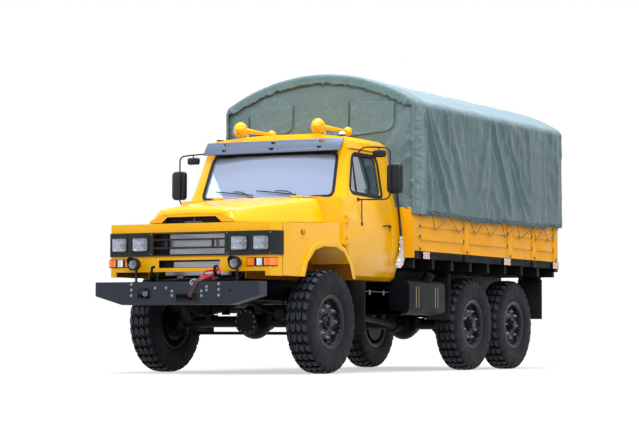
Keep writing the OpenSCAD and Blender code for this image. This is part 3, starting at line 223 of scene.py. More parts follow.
# Black chassis enamel on rolled steel: satin, with dust in the low places.
chassis_black = hard_finish("satin_black_chassis_enamel", "#0a0d12", "#06080b", 0.46, grain_mm=5,
    bump_mm=0.06, dust=0.01, spec=0.10)
# Matt near-black on the bed's irons and underside: painted shadow under the bed; the black sill below the
# side boards uses it too.
sill_black_and_painted_shadow = hard_finish("black_sill_and_painted_shadow", "#0a0b0d", "#060708", 0.6, grain_mm=5, bump_mm=0.08,
    spec=0.12)
# Wheel enamel: smoother and a touch greyer than the chassis.
wheel_black = hard_finish("satin_black_wheel_enamel", "#12151a", "#0c0e12", 0.38, grain_mm=4, bump_mm=0.03,
    dust=0.02, spec=0.24)
# Slate-grey powder coats: fine even grit in the sheen, bluer and paler on the visor than on the bumper.
visor_coat = hard_finish("blue_slate_visor_coat", "#56647e", "#4c5a73", 0.36, grain_mm=2.5, bump_mm=0.05,
    patch=0.4)
slate_coat = hard_finish("slate_powder_coat", "#232a36", "#1d232d", 0.42, grain_mm=2.5, bump_mm=0.05,
    patch=0.4, spec=0.25)
# Rubber of the tyres: matt carbon black with grey dust on the tread blocks.
tyre_rubber = hard_finish("tyre_rubber", "#14171d", "#0b0d11", 0.64, grain_mm=6, bump_mm=0.2, patch_mm=90,
    dust=0.03, spec=0.14)
# The tread's tops are paler than its grooves: worn rubber and dust, with a painted sheen.
tread_wear_and_painted_sheen = hard_finish("tread_top_wear_and_painted_sheen", "#2b303a", "#1d2129", 0.6, grain_mm=6, bump_mm=0.25,
    patch_mm=60, dust=0.10, spec=0.2)
# The tread blocks' sides are near black: painted shade.
lug_side_shade_rubber = hard_finish("lug_side_painted_shade", "#050608", "#030404", 0.8, grain_mm=6, bump_mm=0.2,
    spec=0.05)
# Extruded window rubber, smooth and dull.
seal_rubber = hard_finish("window_seal_rubber", "#121316", "#0c0d0f", 0.5, grain_mm=4, bump_mm=0.02,
    spec=0.25)
# Injection-moulded ABS: fine leather-like grain.
black_abs = hard_finish("moulded_black_abs", "#15171c", "#101216", 0.46, grain_mm=1.6, bump_mm=0.06,
    spec=0.28)
# Grey dash moulding.
dash_abs = hard_finish("moulded_grey_dash", "#3f444c", "#33383f", 0.5, grain_mm=1.6, bump_mm=0.08)
# Zinc-plated, passivated steel fixings: pale, slightly violet.
zinc = hard_finish("passivated_zinc", "#9c9ca8", "#6c6879", 0.42, metal=0.8, grain_mm=2, bump_mm=0.03)
# Bolts in the bed irons: darker violet passivation.
bed_bolt = hard_finish("violet_passivated_bolts", "#6f667b", "#463f50", 0.45, metal=0.6, grain_mm=2,
    bump_mm=0.03)
# Cast iron of the engine and gearbox, rough from the sand mould.
cast_iron = hard_finish("sand_cast_iron", "#33353a", "#222326", 0.7, metal=0.3, grain_mm=2.5, bump_mm=0.4,
    dust=0.05)
# Heat-scaled steel of the exhaust.
scaled_steel = hard_finish("heat_scaled_steel", "#5d5048", "#3a302b", 0.7, metal=0.5, grain_mm=5,
    bump_mm=0.3, patch_mm=120, patch=0.9)
# Rolled aluminium fins of the condenser.
fin_aluminium = hard_finish("rolled_aluminium", "#b9bcc4", "#7d8088", 0.34, metal=0.85, grain_mm=6,
    bump_mm=0.02)
# Red enamel on the winch hook.
hook_red = hard_finish("red_enamel", "#c2223a", "#8e1426", 0.34, coat=0.3, grain_mm=3, bump_mm=0.03)
# Beige trim cloth on the cab's inner walls.
beige_lining = hard_finish("beige_lining", "#cfc3b0", "#b9ab96", 0.85, grain_mm=2, bump_mm=0.15, spec=0.2)
# Silvered lamp bowls.
reflector = hard_finish("silvered_reflector", "#f2f4f6", "#d5d9de", 0.12, metal=1.0, grain_mm=9,
    bump_mm=0.05, rough_var=0.04)
# Silvered glass of the door mirrors.
mirror_glass = hard_finish("silvered_mirror_glass", "#dfe6ee", "#cfd8e2", 0.05, metal=1.0, grain_mm=40,
    bump_mm=0.0, rough_var=0.01)
# Wood of the bed's deck under the canvas.
deck_paint = hard_finish("worn_deck_paint", "#c08a16", "#7b5a1c", 0.6, grain_mm=8, bump_mm=0.3, patch=0.8)
# Waxed cotton duck: grey-green, paler where creases rub, with a soft sheen.
canvas_cloth = woven("waxed_cotton_canvas", "#4e6a70", "#3c555a", "#7d9aa4", 9.0, 0.42, 0.25, sheen=0.1)
# The cover's top is painted paler from the eaves up: painted light from above.
top_lit_canvas = woven("painted_top_light_canvas", "#4e6a70", "#3c555a", "#7d9aa4", 9.0, 0.42, 0.25, sheen=0.1,
    painted_top_light=(3.06, 3.15, "#8aa3b3"))
# The front curtain hangs in the light, and is paler.
curtain_cloth = woven("lit_canvas_curtain", "#678188", "#536d74", "#96aeb4", 9.0, 0.5, 0.25, sheen=0.1)
# The same cloth on the gathered hem, worn paler.
hem_cloth = woven("worn_canvas_hem", "#6b888e", "#4a656b", "#a3bcc4", 9.0, 0.5, 0.3, 40.0)
# Woven seat cover, near black.
seat_cloth = woven("woven_seat_cover", "#2a2d34", "#202329", "#3b3f48", 6.0, 0.8, 0.3)
# Olive binding on the flaps' edges.
olive_binding = woven("olive_edge_binding", "#4b4d2c", "#36391f", "#777a45", 5.0, 0.8, 0.3)
# Grey laid rope.
rope_fibre = woven("laid_grey_rope", "#5f635f", "#484b48", "#84867f", 5.0, 0.85, 0.5)
# Sand-coloured webbing on the tank, and the winch's oiled strap.
webbing = woven("tan_polyester_webbing", "#9b8a5f", "#7d6e49", "#b7a77b", 5.0, 0.7, 0.3)
strap_brown = woven("oiled_winch_strap", "#4e3830", "#352722", "#6d5346", 5.0, 0.7, 0.3)

# Glazing: (see-through tint, mirror tint, haze, colour of the haze, share of mirror, roughness). The
# windscreen's strong pale blue haze is a painted sky reflection.
windscreen_glass = clear("laminated_windscreen", "#b9c9dc", "#d6e3fb", 0.42, "#bdd3fb", 0.24)
side_glass = clear("toughened_side_glass", "#8c979e", "#e2ebf8", 0.04, "#9fb2c8", 0.08)
lamp_glass = clear("pressed_lamp_glass", "#dfe5ec", "#ffffff", 0.03, "#dfe6ef", 0.07, 0.05)


def lens(name, colour, deep, strength):
    """A moulded acrylic lens with a ribbed back; a little light seems to come from inside."""
    made, tree, out, place = blank(name)
    ribs = add(tree, "ShaderNodeTexWave", {"Vector": place, "Scale": per_mm(14) / 20}, bands_direction="X")
    tint = blend(tree, ribs.outputs["Fac"], deep, colour)
    relief = add(tree, "ShaderNodeBump", {"Height": ribs.outputs["Fac"], "Strength": 0.5,
        "Distance": 0.002}).outputs[0]
    shader = add(tree, "ShaderNodeBsdfPrincipled", {"Base Color": tint, "Roughness": 0.12, "Normal": relief,
        "Coat Weight": 0.5, "Emission Color": linear(colour), "Emission Strength": strength})
    tree.links.new(shader.outputs[0], out.inputs["Surface"])
    return made


amber_lens = lens("amber_acrylic", "#ff8a1c", "#e2600a", 0.15)
red_lens = lens("red_acrylic", "#d6231c", "#8f0f10", 0.1)
white_lens = lens("clear_ribbed_acrylic", "#f2f4f7", "#cfd5de", 0.05)
# Retro-reflective tape, blank, in an orange-red and a white field.
tape_red = hard_finish("reflective_tape", "#eb9a80", "#de8266", 0.3, grain_mm=2.5, bump_mm=0.05)
tape_white = hard_finish("white_reflective_tape", "#efe7e2", "#e2d6cf", 0.3, grain_mm=2.5, bump_mm=0.05)
# Thin clear plastic wrap left on the end of the breather pipe.
clear_wrap = clear("crumpled_clear_wrap", "#f3f3f3", "#ffffff", 0.45, "#eceae8", 0.2, 0.2)

# ---------------------------------------------------------------- shaping tools

scene = bpy.context.scene
UP = Vector((0, 0, 1))
WELD = 0.00002


def as_mesh(bm, name, facing=True):
    """A bmesh as a mesh, with its faces turned outwards where facing is set."""
    if facing:
        bmesh.ops.recalc_face_normals(bm, faces=bm.faces)
    mesh = bpy.data.meshes.new(name)
    bm.to_mesh(mesh)
    bm.free()
    return mesh


def placed(name, data):
    """A new object in the scene for a mesh, a camera or a lamp."""
    made = bpy.data.objects.new(name, data)
    scene.collection.objects.link(made)
    return made


def baked(made):
    """An object's mesh as its modifiers leave it."""
    bpy.context.view_layer.update()
    return bpy.data.meshes.new_from_object(made.evaluated_get(bpy.context.evaluated_depsgraph_get()))


def weld(bm):
    """Joins vertices that lie on one another."""
    bmesh.ops.remove_doubles(bm, verts=bm.verts, dist=WELD)


def clean(bm):
    """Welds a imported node's mesh and takes out the edges that cross its flat faces."""
    weld(bm)
    bmesh.ops.dissolve_limit(bm, angle_limit=math.radians(0.8), verts=bm.verts, edges=bm.edges)


def bend(values, steps):
    """A smooth path of Vectors through the given points, with steps between each two."""
    points = [Vector(v) for v in values]
    ends = [points[0] * 2 - points[1]] + points + [points[-1] * 2 - points[-2]]
    path = []
    for i in range(1, len(ends) - 2):
        a, b, c, d = ends[i - 1 : i + 3]
        for k in range(steps):
            t = k / steps
            path.append(0.5 * (2 * b + (c - a) * t + (2 * a - 5 * b + 4 * c - d) * t * t
                + (3 * b - a - 3 * c + d) * t ** 3))
    return path + [points[-1]]


def round_corners(outline, radius, steps=4):
    """A closed outline of (u, v) pairs with its corners rounded."""
    out = []
    count = len(outline)
    for i, corner in enumerate(outline):
        b = Vector(corner)
        to_a, to_c = Vector(outline[i - 1]) - b, Vector(outline[(i + 1) % count]) - b
        reach = min(radius, 0.45 * to_a.length, 0.45 * to_c.length)
        p, q = b + to_a.normalized() * reach, b + to_c.normalized() * reach
        for k in range(steps + 1):
            t = k / steps
            out.append(tuple((1 - t) ** 2 * p + 2 * t * (1 - t) * b + t * t * q))
    return out


def rect(u0, v0, u1, v1, radius=0.0, steps=4):
    """A rectangle's outline, with rounded corners where a radius is given."""
    corners = [(u0, v0), (u1, v0), (u1, v1), (u0, v1)]
    return round_corners(corners, radius, steps) if radius else corners


def loft(bm, rings, capped=True, closed=True, slot=0):
    """Skins rings of points with quads; capped ends make it a solid."""
    grid = [[bm.verts.new(p) for p in ring] for ring in rings]
    count = len(grid[0])
    made = []
    for a, b in zip(grid, grid[1:]):
        for i in range(count if closed else count - 1):
            j = (i + 1) % count
            made.append(bm.faces.new((a[i], a[j], b[j], b[i])))
    if capped:
        made += [bm.faces.new(list(reversed(grid[0]))), bm.faces.new(grid[-1])]
    for face in made:
        face.material_index = slot
    return made


def swept(bm, path, radius, sides=10, slot=0, flat=None, twist=None):
    """A round bar along a path, or a flat strap where flat gives its (width, thickness) and twist
    gives the direction of its width."""
    rings = []
    side = None
    for i, point in enumerate(path):
        ahead = (path[min(i + 1, len(path) - 1)] - path[max(i - 1, 0)]).normalized()
        if side is None:
            side = ahead.cross(UP if abs(ahead.z) < 0.9 else Vector((1, 0, 0)))
        side = (side - ahead * side.dot(ahead)).normalized()
        if flat:
            wide = Vector(twist) - ahead * Vector(twist).dot(ahead)
            wide = wide.normalized() * flat[0] / 2
            thick = ahead.cross(wide).normalized() * flat[1] / 2
            rings.append([point + wide + thick, point - wide + thick, point - wide - thick,
                point + wide - thick])
        else:
            over = ahead.cross(side)
            size = radius[i] if isinstance(radius, list) else radius
            rings.append([point + (side * math.cos(a) + over * math.sin(a)) * size
                for a in (2 * math.pi * k / sides for k in range(sides))])
    return loft(bm, rings, slot=slot)


def turned(bm, profile, centre, axis, sides=48, slot=0):
    """Turns an open profile of (along the axis, radius) pairs round an axis; its ends are closed."""
    axis = Vector(axis).normalized()
    side = axis.cross(UP if abs(axis.z) < 0.9 else Vector((1, 0, 0))).normalized()
    over = axis.cross(side)
    rings = [[Vector(centre) + axis * along + (side * math.cos(a) + over * math.sin(a)) * max(r, 0.0004)
        for a in (2 * math.pi * k / sides for k in range(sides))] for along, r in profile]
    return loft(bm, rings, slot=slot)


def prism(bm, outline, across, a, b, slot=0):
    """Extrudes an outline from a to b along an axis: (y, z) along X, (x, z) along Y, (x, y) along Z."""
    spots = {"X": lambda u, v, w: (w, u, v), "Y": lambda u, v, w: (u, w, v), "Z": lambda u, v, w: (u, v, w)}
    return loft(bm, [[Vector(spots[across](u, v, w)) for u, v in outline] for w in (a, b)], slot=slot)


def block(bm, low, high, slot=0):
    """A box between two corners."""
    return prism(bm, rect(low[0], low[1], high[0], high[1]), "Z", low[2], high[2], slot)


def soften(bm, width, segments=2, angle=28):
    """Rounds every edge that turns by more than an angle."""
    sharp = [e for e in bm.edges if len(e.link_faces) == 2 and e.calc_face_angle(0) > math.radians(angle)]
    bmesh.ops.bevel(bm, geom=sharp, offset=width, segments=segments, profile=0.6, affect="EDGES",
        clamp_overlap=True, material=-1)


def mirrored(bm):
    """Adds the other side of the truck."""
    twin = bmesh.ops.duplicate(bm, geom=bm.verts[:] + bm.edges[:] + bm.faces[:])["geom"]
    for vert in (v for v in twin if isinstance(v, bmesh.types.BMVert)):
        vert.co.x = -vert.co.x
    bmesh.ops.reverse_faces(bm, faces=[f for f in twin if isinstance(f, bmesh.types.BMFace)])


def piece(name, bm, materials, body, covers=(), angle=32, facing=True):
    """Turns a bmesh into a finished piece that rides on a body."""
    mesh = as_mesh(bm, name, facing)
    for material in materials:
        mesh.materials.append(material)
    mesh.shade_smooth()
    mesh.set_sharp_from_angle(angle=math.radians(angle))
    made = placed(name, mesh)
    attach(made, body)
    if covers:
        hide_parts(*covers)
    return made


def dressed(node, materials, width=0.003, segments=2, angle=28, paint=None, cut_z=None):
    """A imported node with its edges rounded, and cut across at a height where a colour ends there.
    paint(face centre, normal) picks the material's index."""
    bm = bmesh.new()
    bm.from_mesh(nodes[node].data)
    clean(bm)
    if width:
        soften(bm, width, segments, angle)
    if cut_z:
        everything = bm.verts[:] + bm.edges[:] + bm.faces[:]
        bmesh.ops.bisect_plane(bm, geom=everything, plane_co=(0, 0, cut_z), plane_no=UP)
    for face in bm.faces:
        face.material_index = paint(face.calc_center_median(), face.normal) if paint else 0
    return piece(node + "_dressed", bm, materials, body_of(nodes[node])[0], covers=[node],
        facing=False)


# ---------------------------------------------------------------- repeats


def repeat_tree(name, turning):
    """Geometry Nodes that repeat one item: turned about X in a ring, or stepped along a row."""
    tree = bpy.data.node_groups.new(name, "GeometryNodeTree")
    sockets = {}
    for label, kind in (("Item", "NodeSocketObject"), ("Count", "NodeSocketInt"),
            ("Step", "NodeSocketVector")):
        sockets[label] = tree.interface.new_socket(label, in_out="INPUT", socket_type=kind).identifier
    tree.interface.new_socket("Geometry", in_out="OUTPUT", socket_type="NodeSocketGeometry")
    given = add(tree, "NodeGroupInput").outputs
    item = add(tree, "GeometryNodeObjectInfo", {"Object": given["Item"]}).outputs["Geometry"]
    if turning:
        points = add(tree, "GeometryNodeMeshLine", {"Count": given["Count"], "Offset": (0, 0, 0)})
        order = add(tree, "GeometryNodeInputIndex").outputs[0]
        turn = add(tree, "ShaderNodeVectorMath", {0: given["Step"], "Scale": order}, operation="SCALE")
        spots = add(tree, "GeometryNodeInstanceOnPoints", {"Points": points.outputs[0], "Instance": item,
            "Rotation": turn.outputs[0]})
    else:
        points = add(tree, "GeometryNodeMeshLine", {"Count": given["Count"], "Offset": given["Step"]})
        spots = add(tree, "GeometryNodeInstanceOnPoints", {"Points": points.outputs[0], "Instance": item})
    real = add(tree, "GeometryNodeRealizeInstances", {"Geometry": spots.outputs[0]}).outputs[0]
    tree.links.new(real, add(tree, "NodeGroupOutput").inputs[0])
    return tree, sockets


RING = repeat_tree("ring_of_items", True)
ROW = repeat_tree("row_of_items", False)


def repeated(kind, item, count, step):
    """The plain mesh of an item repeated by one of the trees; item is a bmesh near the origin."""
    tree, sockets = kind
    source = placed("item", as_mesh(item, "item"))
    holder = placed("holder", bpy.data.meshes.new("holder"))
    modifier = holder.modifiers.new("repeat", "NODES")
    modifier.node_group = tree
    for label, value in {"Item": source, "Count": count, "Step": step}.items():
        modifier[sockets[label]] = value
    mesh = baked(holder)
    for obj in (holder, source):
        bpy.data.objects.remove(obj)
    return mesh


def joined(bm, mesh, slot=0, move=None):
    """Adds a mesh to a bmesh, moved by a matrix, with all its faces in one material slot."""
    if move is not None:
        mesh = mesh.copy()
        mesh.transform(move)
    before = len(bm.faces)
    bm.from_mesh(mesh)
    bm.faces.ensure_lookup_table()
    for face in bm.faces[before:]:
        face.material_index = slot


# ---------------------------------------------------------------- camera, floor and light

camera = placed("camera", bpy.data.cameras.new("camera"))
camera.data.lens = 122.7
camera.data.sensor_width = 36.0
camera.data.clip_end = 300.0
camera.matrix_world = (Matrix.Translation((12.2836, AXLE_Y - 20.6534, 0.3987)) @ Matrix.Rotation(
    math.radians(28.715), 4, "Z") @ Matrix.Rotation(math.radians(90 + 3.253), 4,
    "X") @ Matrix.Rotation(math.radians(0.220), 4, "Z"))
scene.camera = camera
scene.view_settings.view_transform = "Standard"


def seen_rays(tree):
    """One for the rays of the camera, mirrors and glass, and nought for the light on the truck."""
    path = add(tree, "ShaderNodeLightPath").outputs
    rays = path["Is Camera Ray"]
    for other in ("Is Glossy Ray", "Is Transmission Ray"):
        rays = add(tree, "ShaderNodeMath", {0: rays, 1: path[other]}, operation="MAXIMUM").outputs[0]
    return rays


floor_mat, floor_tree, floor_out, floor_place = blank("pale_seamless_floor")
floor_reach = add(floor_tree, "ShaderNodeVectorMath", {0: floor_place}, operation="LENGTH").outputs["Value"]
floor_level = add(floor_tree, "ShaderNodeMapRange", {"Value": floor_reach, "From Min": 5.0,
    "From Max": 11.0, "To Min": 0.55, "To Max": 1.0})
floor_lit = add(floor_tree, "ShaderNodeBsdfDiffuse", {"Color": linear("#a3a3a3")})
floor_glow = add(floor_tree, "ShaderNodeEmission", {"Color": (1, 1, 1, 1),
    "Strength": add(floor_tree, "ShaderNodeMath", {0: seen_rays(floor_tree), 1: floor_level.outputs[0]},
    operation="MULTIPLY").outputs[0]})
floor_sum = add(floor_tree, "ShaderNodeAddShader", {0: floor_lit.outputs[0], 1: floor_glow.outputs[0]})
floor_tree.links.new(floor_sum.outputs[0], floor_out.inputs["Surface"])
# The floor reaches far past the view on every side.
bm = bmesh.new()
bmesh.ops.create_grid(bm, x_segments=24, y_segments=24, size=120)
floor_mesh = as_mesh(bm, "floor", facing=False)
floor_mesh.materials.append(floor_mat)
placed("floor", floor_mesh)

world = bpy.data.worlds.new("studio")
scene.world = world
world.use_nodes = True
world.node_tree.nodes.clear()
world_level = add(world.node_tree, "ShaderNodeMapRange", {"Value": seen_rays(world.node_tree),
    "To Min": 0.5, "To Max": 1.0})
world_glow = add(world.node_tree, "ShaderNodeBackground", {"Color": (1, 1, 1, 1),
    "Strength": world_level.outputs[0]})
world_out = add(world.node_tree, "ShaderNodeOutputWorld")
world.node_tree.links.new(world_glow.outputs[0], world_out.inputs["Surface"])


def soft_lamp(name, place, aim, size, watts):
    """A large square lamp that shines from a place towards a point."""
    data = bpy.data.lights.new(name, "AREA")
    data.shape, data.size, data.energy = "SQUARE", size, watts
    lamp = placed(name, data)
    lamp.location = place
    lamp.rotation_euler = (Vector(aim) - Vector(place)).to_track_quat("-Z", "Y").to_euler()
    return lamp


soft_lamp("key", (7.5, -11.0, 10.5), (0, -0.6, 1.4), 6.0, 1400)
soft_lamp("top", (0.0, 0.5, 11.0), (0, 0, 1.0), 8.0, 1700)
soft_lamp("fill", (-9.5, -7.0, 6.0), (0, -1.0, 1.4), 6.0, 360)
# The lamp behind would show in the side windows as a white patch.
soft_lamp("back", (6.0, 11.0, 7.5), (0, 1.0, 1.6), 6.0, 420).visible_glossy = False

# ---------------------------------------------------------------- tyres and wheels

SIDES = (("left", 1), ("right", -1))
WHEEL_ROWS = ("front", "middle", "rear")
TYRE_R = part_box("left_front_tyre")[1].z - AXLE_Z
BEAD_R = 0.2625
GROOVE = 0.027
LUGS = 30
LUG_TURN = (2 * math.pi / LUGS, 0, 0)
MIDDLE_Y, REAR_Y = joint_at("left_middle_spin").y, joint_at("left_rear_spin").y
# Faces this near the tread's edge and the wheel's middle plane get a tread material; the tops, paler for wear
# with a painted sheen, are those within TREAD_TOP of the radius, more towards the shoulders, and the blocks'
# sides below them get near-black painted shade.
TREAD_DEPTH, TREAD_HALF, TREAD_TOP, CROWN_HALF, CROWN_FALL = 0.022, 0.13, 0.0075, 0.09, 0.3


def tyre_mesh():
    """One tyre about the origin: a carcass with ribs and bead, and bent tread bars with shoulder blocks."""
    bm = bmesh.new()
    floor_r = TYRE_R - GROOVE
    half = [(0.107, BEAD_R), (0.112, 0.290), (0.118, 0.303), (0.1335, 0.318), (0.1345, 0.324),
        (0.1415, 0.345), (0.1465, 0.372), (0.1485, 0.392), (0.1497, 0.402), (0.1485, 0.412),
        (0.1495, 0.430), (0.1495, 0.452), (0.1475, 0.463), (0.1485, 0.468), (0.144, 0.485), (0.1385, 0.503),
        (0.130, 0.524), (0.116, floor_r), (0.06, floor_r + 0.002)]
    profile = half + [(0.0, floor_r + 0.003)] + [(-x, r) for x, r in reversed(half)]
    profile.append(profile[0])
    sides = 96
    rings = [[Vector((x, r * math.cos(a), r * math.sin(a))) for x, r in profile[:-1]]
        for a in (2 * math.pi * k / sides for k in range(sides))]
    rings.append(rings[0])
    loft(bm, rings, capped=False)
    weld(bm)
    carcass = as_mesh(bm, "carcass")

    # A tread bar lies across half the tread. It leans, bends at its middle and drops at the shoulder.
    def bar(mirror, path, half_width, low_r):
        item = bmesh.new()
        rings = []
        for x, around, top_r in path:
            ring = []
            for side, r, narrow in ((-1, low_r, 1.06), (1, low_r, 1.06), (1, top_r, 1.0), (-1, top_r, 1.0)):
                angle = (around + side * half_width * narrow) / TYRE_R
                depth = r if r != low_r else min(low_r, top_r - 0.012)
                ring.append(Vector((x * mirror, depth * math.sin(angle), depth * math.cos(angle))))
            rings.append(ring)
        loft(item, rings)
        soften(item, 0.0035, 1, 40)
        return item

    pitch = 2 * math.pi * TYRE_R / LUGS
    centre = [(0.006, 0.016, TYRE_R), (0.034, -0.018, TYRE_R), (0.062, 0.014, TYRE_R - 0.001)]
    shoulder = [(0.076, 0.012, TYRE_R - 0.002), (0.100, -0.014, TYRE_R - 0.006),
        (0.122, -0.010, TYRE_R - 0.016), (0.135, -0.008, TYRE_R - 0.032), (0.1425, -0.006, TYRE_R - 0.060)]
    whole = bmesh.new()
    joined(whole, carcass)
    for mirror in (1, -1):
        for path, width in ((centre, pitch * 0.34), (shoulder, pitch * 0.30)):
            item = bar(mirror, path, width, TYRE_R - GROOVE - 0.004)
            joined(whole, repeated(RING, item, LUGS, LUG_TURN))
    # Shallow ribs where the shoulder blocks run down the sidewall.
    for mirror in (1, -1):
        rib = bmesh.new()
        block(rib, (0.139 * mirror - 0.004, -0.006, 0.470), (0.139 * mirror + 0.004, 0.006, 0.512))
        soften(rib, 0.002, 1)
        rib.transform(Matrix.Rotation(math.pi / LUGS, 4, "X"))
        joined(whole, repeated(RING, rib, LUGS, LUG_TURN))
    return as_mesh(whole, "tyre", facing=False)


def hex_nut(radius, height, taper=0.7):
    """A hexagon nut or bolt head along X, with a chamfered top, on a round washer."""
    bm = bmesh.new()
    turned(bm, [(0.0, radius * 1.25), (0.003, radius * 1.25), (0.0031, radius * 1.1)], (0, 0, 0), (1, 0, 0),
        16)
    turned(bm, [(0.002, radius), (height * taper, radius), (height, radius * 0.82)], (0, 0, 0), (1, 0, 0),
        6)
    return bm


def moved(item, offset):
    """The bmesh, shifted."""
    bmesh.ops.translate(item, verts=item.verts, vec=Vector(offset))
    return item


def wheel_fixings():
    """Wheel nuts with their studs, hub flange bolts and the valve, about the origin, outer side to +X."""
    bm = bmesh.new()
    nut = hex_nut(0.0165, 0.022)
    turned(nut, [(0.01, 0.0095), (0.034, 0.0095), (0.036, 0.007)], (0, 0, 0), (1, 0, 0), 10)
    joined(bm, repeated(RING, moved(nut, (0.0695, 0, 0.1675)), 8, (math.pi / 4, 0, 0)), 0)
    small = moved(hex_nut(0.0085, 0.009), (0.1215, 0, 0.072))
    joined(bm, repeated(RING, small, 8, (math.pi / 4, 0, 0)), 1)
    turned(bm, [(0.1195, 0.052), (0.135, 0.05), (0.1375, 0.044), (0.138, 0.02)], (0, 0, 0), (1, 0, 0), 36,
        1)
    swept(bm, bend([(0.05, 0.0, 0.222), (0.075, 0.0, 0.225), (0.088, 0.0, 0.236)], 4), 0.0045, 8, 1)
    return bm


tyre = tyre_mesh()
fixings = as_mesh(wheel_fixings(), "fixings")
for number, (side, sign) in enumerate(SIDES):
    for order, row in enumerate(WHEEL_ROWS):
        name = side + "_" + row
        centre = joint_at(name + "_spin")
        # Each tyre is turned a little, as wheels stand when a truck has rolled to a stop.
        phase = 0.37 * (order + 2 * number)
        turn = Matrix.Rotation(phase, 4, "X")
        half_turn = Matrix.Identity(4) if sign > 0 else Matrix.Rotation(math.pi, 4, "Z")
        place = Matrix.Translation(centre) @ turn @ half_turn
        bm = bmesh.new()
        bm.from_mesh(tyre)
        for face in bm.faces:
            middle = face.calc_center_median()
            out = math.hypot(middle.y, middle.z)
            # Tread tops get wear with a painted sheen; the blocks' sides get painted shade.
            if out > TYRE_R - TREAD_DEPTH and abs(middle.x) < TREAD_HALF:
                wear_sheen_r = TYRE_R - TREAD_TOP - CROWN_FALL * max(abs(middle.x) - CROWN_HALF, 0)
                face.material_index = 1 if out > wear_sheen_r else 2
        bm.transform(place)
        piece(name + "_tyre_rubber", bm, [tyre_rubber, tread_wear_and_painted_sheen, lug_side_shade_rubber], name + "_wheel",
            covers=[name + "_tyre"], angle=38, facing=False)
        dressed(name + "_wheel", [wheel_black], 0.0, angle=30)
        bm = bmesh.new()
        bm.from_mesh(fixings)
        bm.transform(place)
        piece(name + "_wheel_nuts", bm, [zinc, wheel_black], name + "_wheel", facing=False)

# ---------------------------------------------------------------- frame, axles and springs

for node in ("chassis_frame", "cross_members", "equipment_boxes"):
    dressed(node, [chassis_black], 0.003)
for node in ("front_axle", "middle_axle", "rear_axle", "left_knuckle", "right_knuckle", "tie_rod"):
    dressed(node, [chassis_black], 0.0)
dressed("driveline", [cast_iron], 0.006)
dressed("exhaust", [scaled_steel], 0.0)
dressed("engine", [cast_iron], 0.02, 3)


def leaf_stack(bm, x0, x1, middle, half, low, step, rise, count, downwards=True):
    """Spring leaves of falling length, bowed, one on another, with rebound clips."""
    for i in range(count):
        reach = half * (1 - 0.82 * i / count)
        level = low - step * i if downwards else low + step * i
        rings = []
        for k in range(-8, 9):
            t = k / 8
            y = middle + reach * t
            z = level + rise * (reach * t / half) ** 2
            rings.append([Vector((x0, y, z)), Vector((x1, y, z)), Vector((x1, y, z + step * 0.86)),
                Vector((x0, y, z + step * 0.86))])
        loft(bm, rings)


springs = bmesh.new()
SPRING_X0, SPRING_X1 = 0.422, 0.498
SEAT_Z = AXLE_Z + 0.076
BOGIE_Y = (MIDDLE_Y + REAR_Y) / 2
leaf_stack(springs, SPRING_X0 + 0.001, SPRING_X1 - 0.001, AXLE_Y, 0.685, SEAT_Z + 0.080, 0.0105, 0.048, 8)
leaf_stack(springs, SPRING_X0 + 0.001, SPRING_X1 - 0.001, BOGIE_Y, 0.610, 0.682, 0.0115, -0.05, 8,
    downwards=False)
for y in (AXLE_Y - 0.42, AXLE_Y + 0.42, AXLE_Y - 0.055, AXLE_Y + 0.055):
    block(springs, (SPRING_X0 - 0.008, y - 0.016, SEAT_Z + 0.004), (SPRING_X1 + 0.008, y + 0.016,
        SEAT_Z + 0.11))
mirrored(springs)
for sx in (-1, 1):
    turned(springs, [(-0.035, 0.066), (-0.03, 0.074), (0.052, 0.074), (0.056, 0.066)],
        (sx * (SPRING_X0 + 0.04), BOGIE_Y, 0.63), (sx, 0, 0), 32)
soften(springs, 0.0012, 1, 50)
piece("spring_leaves", springs, [chassis_black], "chassis", covers=["leaf_springs"])

# Brake chambers, shock absorbers, brake hoses, diff cover bolts and air lines show below the truck.
gear = bmesh.new()
for y, tilt in ((AXLE_Y - 0.02, 1), (MIDDLE_Y + 0.14, -1), (REAR_Y - 0.14, 1)):
    for sx in (-1, 1):
        centre = Vector((sx * 0.60, y - tilt * 0.15, AXLE_Z + 0.085))
        turned(gear, [(-0.06, 0.03), (-0.055, 0.068), (-0.01, 0.074), (-0.008, 0.084), (0.008, 0.084),
            (0.01, 0.074), (0.045, 0.066), (0.055, 0.04)], centre, (0, tilt, 0.25), 24)
        swept(gear, bend([centre + Vector((0, tilt * 0.05, 0.05)), centre
            + Vector((-sx * 0.05, tilt * 0.1, 0.16)), Vector((sx * 0.445, y - tilt * 0.05, 0.84))], 6),
            0.008, 8)
for sx in (-1, 1):
    top, bottom = Vector((sx * 0.455, AXLE_Y + 0.28, 0.93)), Vector((sx * 0.52, AXLE_Y + 0.115, 0.60))
    middle = top.lerp(bottom, 0.5)
    swept(gear, [top, middle], 0.032, 16)
    swept(gear, [middle, bottom], 0.024, 16)
piece("brake_and_damper_set", gear, [chassis_black], "chassis")
covers_bm = bmesh.new()
for y, way in ((AXLE_Y, -1), (MIDDLE_Y, 1), (REAR_Y, 1)):
    bolt = moved(hex_nut(0.0085, 0.008), (0.2035, 0, 0.118))
    ring = repeated(RING, bolt, 12, (math.pi / 6, 0, 0))
    turn = Matrix.Rotation(math.pi / 2 * way, 4, "Z")
    joined(covers_bm, ring, 0, Matrix.Translation((0.167, y, AXLE_Z)) @ turn)
piece("axle_cover_bolts", covers_bm, [bed_bolt], "chassis")

# ---------------------------------------------------------------- nose, lamps and grille

NOSE_Y = st(-1.100)
LAMP_Z0, LAMP_Z1 = 1.298, 1.453
LAMP_X = [sorted((sx * x0, sx * x1)) for sx in (-1, 1) for x0, x1 in ((0.511, 0.722), (0.781, 0.985))]
